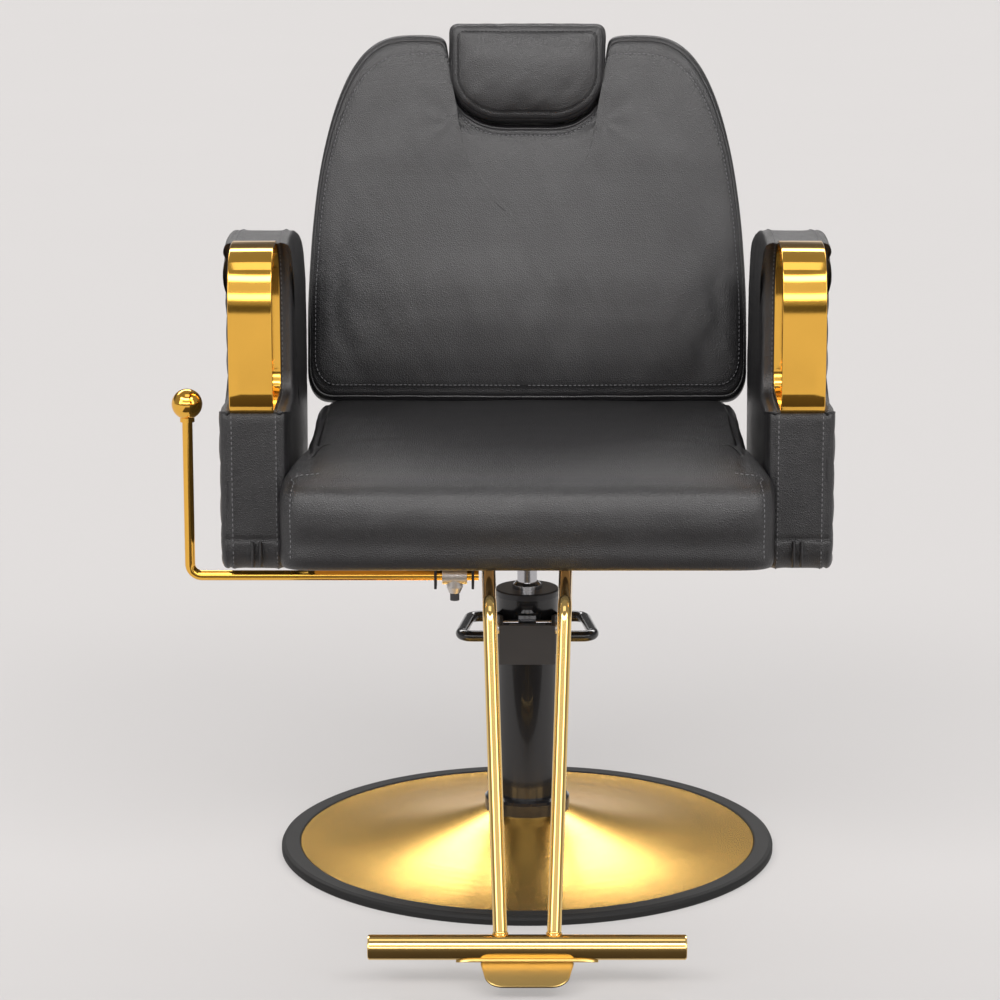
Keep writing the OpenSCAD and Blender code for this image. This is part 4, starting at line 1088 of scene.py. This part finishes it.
class CHAIR_OT_bands(bpy.types.Operator):
    """Makes the plated bands of the arms as rounded flat straps"""
    bl_idname = "chair.bands"
    bl_label = "Bands"

    def execute(self, context):
        thick, wide, r = 4.0, BAND_HIGH[0] - BAND_LOW[0] - 4, 1.2
        half, reach = thick / 2, wide / 2
        section = np.vstack([
            arc(right * (half - r), top * (reach - r), r, start, start + 90, 4)
            for right, top, start in ((1, 1, 0), (-1, 1, 90), (-1, -1, 180), (1, -1, 270))])
        loop = even(band_outline(-half, 0, 360, 721)[:-1], 240)
        for side, tag in SIDES:
            node = f"arm_band_{tag}"
            x = (low(node)[0] + high(node)[0]) / 2 - 1.8 * side
            path = np.column_stack([np.full(len(loop), x), loop])
            piece(f"arm_trim_{tag}", [swept(path, section, (1, 0, 0), closed=True)],
                  "polished_gold", "seat", [node], sharp=80)
        return {"FINISHED"}


def saddle(bar):
    """A thin shoe under the bar: an arc about the bar's axis whose opening angle falls
    to nothing at its ends as a circle does."""
    r, reach, across = high("footrest_bar")[2] - bar[2], 78, 15
    x = np.linspace(-reach, reach, 61)
    wide = np.sqrt(np.clip(1 - ((np.abs(x) - reach + 20) / 20.5).clip(0) ** 2, 0.02, 1))
    t = np.linspace(-1, 1, across)
    turn = np.radians(-98 + 34 * wide[:, None] * np.concatenate([t, t[::-1]]))
    out = np.repeat([r + 2.6, r + 0.1], across)
    return closed_skin(np.stack([np.repeat(x[:, None], 2 * across, 1),
                                 bar[1] + out * np.cos(turn),
                                 bar[2] + out * np.sin(turn)], -1))


def tongue(bar):
    """The toe plate: a tapered outline with round corners, laid along a slope and given
    four rings, the outer two drawn in to round its edges."""
    edge = mirrored([[[0, -3], [50, -3], [51, 2], [48, 14]], arc(27, 17, 20, 8, 90, 10),
                     [[0, 37]]])
    edge = even(edge, 160)
    rings = [(0.0, 0.975), (0.7, 1.0), (2.3, 1.0), (3.0, 0.975)]
    fall = math.radians(25)
    ahead = np.array([0, -math.cos(fall), -math.sin(fall)])
    up = np.array([0, -math.sin(fall), math.cos(fall)])
    start = np.array([0, bar[1] - 10, low("footrest_bar")[2] - 2])
    middle = np.array([0, 17])
    rows = [start + (middle + (edge - middle) * share) @ np.stack([[1, 0, 0], ahead])
            + up * lift for lift, share in rings]
    return closed_skin(np.array(rows, float))


def weld_bead(place, way):
    """A small bead where the tube meets the bar: a ring turned about the tube."""
    side = unit(np.cross(way, [1.0, 0, 0]))
    basis = np.stack([np.cross(side, way), side, way])
    return turned(circle(1.6, 12) + [7.5, 0], 40, place, basis)


class CHAIR_OT_tubes(bpy.types.Operator):
    """Makes the footrest's bent tubes and the pedal's loop as smooth sweeps"""
    bl_idname = "chair.tubes"
    bl_label = "Tubes"

    def execute(self, context):
        tube_r, rear_x, kink_x, foot_x = 8, 48, 42, 29
        _, start_y, top_z = high("footrest_tube_right")
        run_z = top_z - tube_r
        bar = (low("footrest_bar") + high("footrest_bar")) / 2
        for side, tag in SIDES:
            begin = [rear_x * side, start_y, run_z]
            kink = [kink_x * side, -337, run_z]
            foot = np.array([foot_x * side, bar[1], bar[2]])
            away = unit(kink - foot)
            foot = foot + away * tube_r
            path = np.vstack([[begin], bend(begin, kink, foot, 30, 24), [foot]])
            up = unit(np.cross(np.subtract(kink, begin), foot - kink))
            tube = swept(path, circle(tube_r, 48), up)
            weld = weld_bead(foot + away * 7, away)
            piece(f"footrest_leg_{tag}", [tube, weld], "pale_gold", "seat",
                  [f"footrest_tube_{tag}"], sharp=50)
        piece("toe_tongue", [saddle(bar), tongue(bar)], "satin_gold",
              "seat", ["toe_plate"], sharp=24)
        lo, hi = low("pedal_loop"), high("pedal_loop")
        r = (hi[2] - lo[2]) / 2 + 1.4
        half, z = hi[0] - r, (hi[2] + lo[2]) / 2
        ring = [[half, lo[1] + r, z], [half - 12, hi[1] - r, z],
                [12 - half, hi[1] - r, z], [-half, lo[1] + r, z]]
        path = np.vstack([bend(ring[i - 1], ring[i], ring[(i + 1) % 4], 14, 14)
                          for i in range(4)])
        piece("pedal_bow", [swept(path, circle(r, 24), (0, 0, 1), closed=True)],
              "black_enamel", "pedal", ["pedal_loop"], sharp=60)
        return {"FINISHED"}


class CHAIR_OT_base(bpy.types.Operator):
    """Makes the spun dish of the base as one smooth shell"""
    bl_idname = "chair.base"
    bl_label = "Base"

    def execute(self, context):
        foot, (rim, _, top) = low("base_dish")[2], high("base_dish")
        thick, hole, collar = 3.0, 36.3, high("base_collar")[0]
        r = np.linspace(rim, collar, 90)
        under = foot + (top - foot - thick) * ((rim - r) / (rim - collar)) ** 2
        lip = np.array([[rim - 0.6, foot + 0.1], [rim, foot + 0.8],
                        [rim, foot + thick - 0.9], [rim - 0.9, foot + thick]])
        over = np.stack([r[1:], under[1:] + thick], 1)
        centre = np.array([[hole, top], [hole, top - thick]])
        below = np.stack([r[:0:-1], under[:0:-1]], 1)
        profile = np.vstack([lip, over, centre, below])
        piece("base_shell", [turned(profile, 256)], "spun_gold", "root",
              ["base_dish"], sharp=30, radial=True)
        return {"FINISHED"}


class CHAIR_PT_panel(bpy.types.Panel):
    """Sizes, finishes and steps of the chair"""
    bl_idname = "CHAIR_PT_panel"
    bl_label = "Barber chair"
    bl_space_type = "VIEW_3D"
    bl_region_type = "UI"
    bl_category = "Chair"

    def draw(self, context):
        for group in settings():
            box = self.layout.box()
            for key in group.__annotations__:
                box.prop(group, key)
        for step in STEPS:
            self.layout.operator(step.bl_idname)


GROUPS = (ChairFinish, ChairPadding, ChairStudio)
STEPS = (CHAIR_OT_stage, CHAIR_OT_finishes, CHAIR_OT_base, CHAIR_OT_tubes, CHAIR_OT_bands,
         CHAIR_OT_arms, CHAIR_OT_seat, CHAIR_OT_back, CHAIR_OT_headrest)


def register():
    for kind in (*GROUPS, *STEPS, CHAIR_PT_panel):
        bpy.utils.register_class(kind)
    bpy.types.Scene.chair_finish = PointerProperty(type=ChairFinish)
    bpy.types.Scene.chair_padding = PointerProperty(type=ChairPadding)
    bpy.types.Scene.chair_studio = PointerProperty(type=ChairStudio)


def unregister():
    del bpy.types.Scene.chair_finish, bpy.types.Scene.chair_padding
    del bpy.types.Scene.chair_studio
    for kind in (CHAIR_PT_panel, *reversed(STEPS), *reversed(GROUPS)):
        bpy.utils.unregister_class(kind)


def main():
    """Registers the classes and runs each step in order."""
    register()
    for step in STEPS:
        group, name = step.bl_idname.split(".")
        getattr(getattr(bpy.ops, group), name)()


if __name__ == "__main__":
    main()
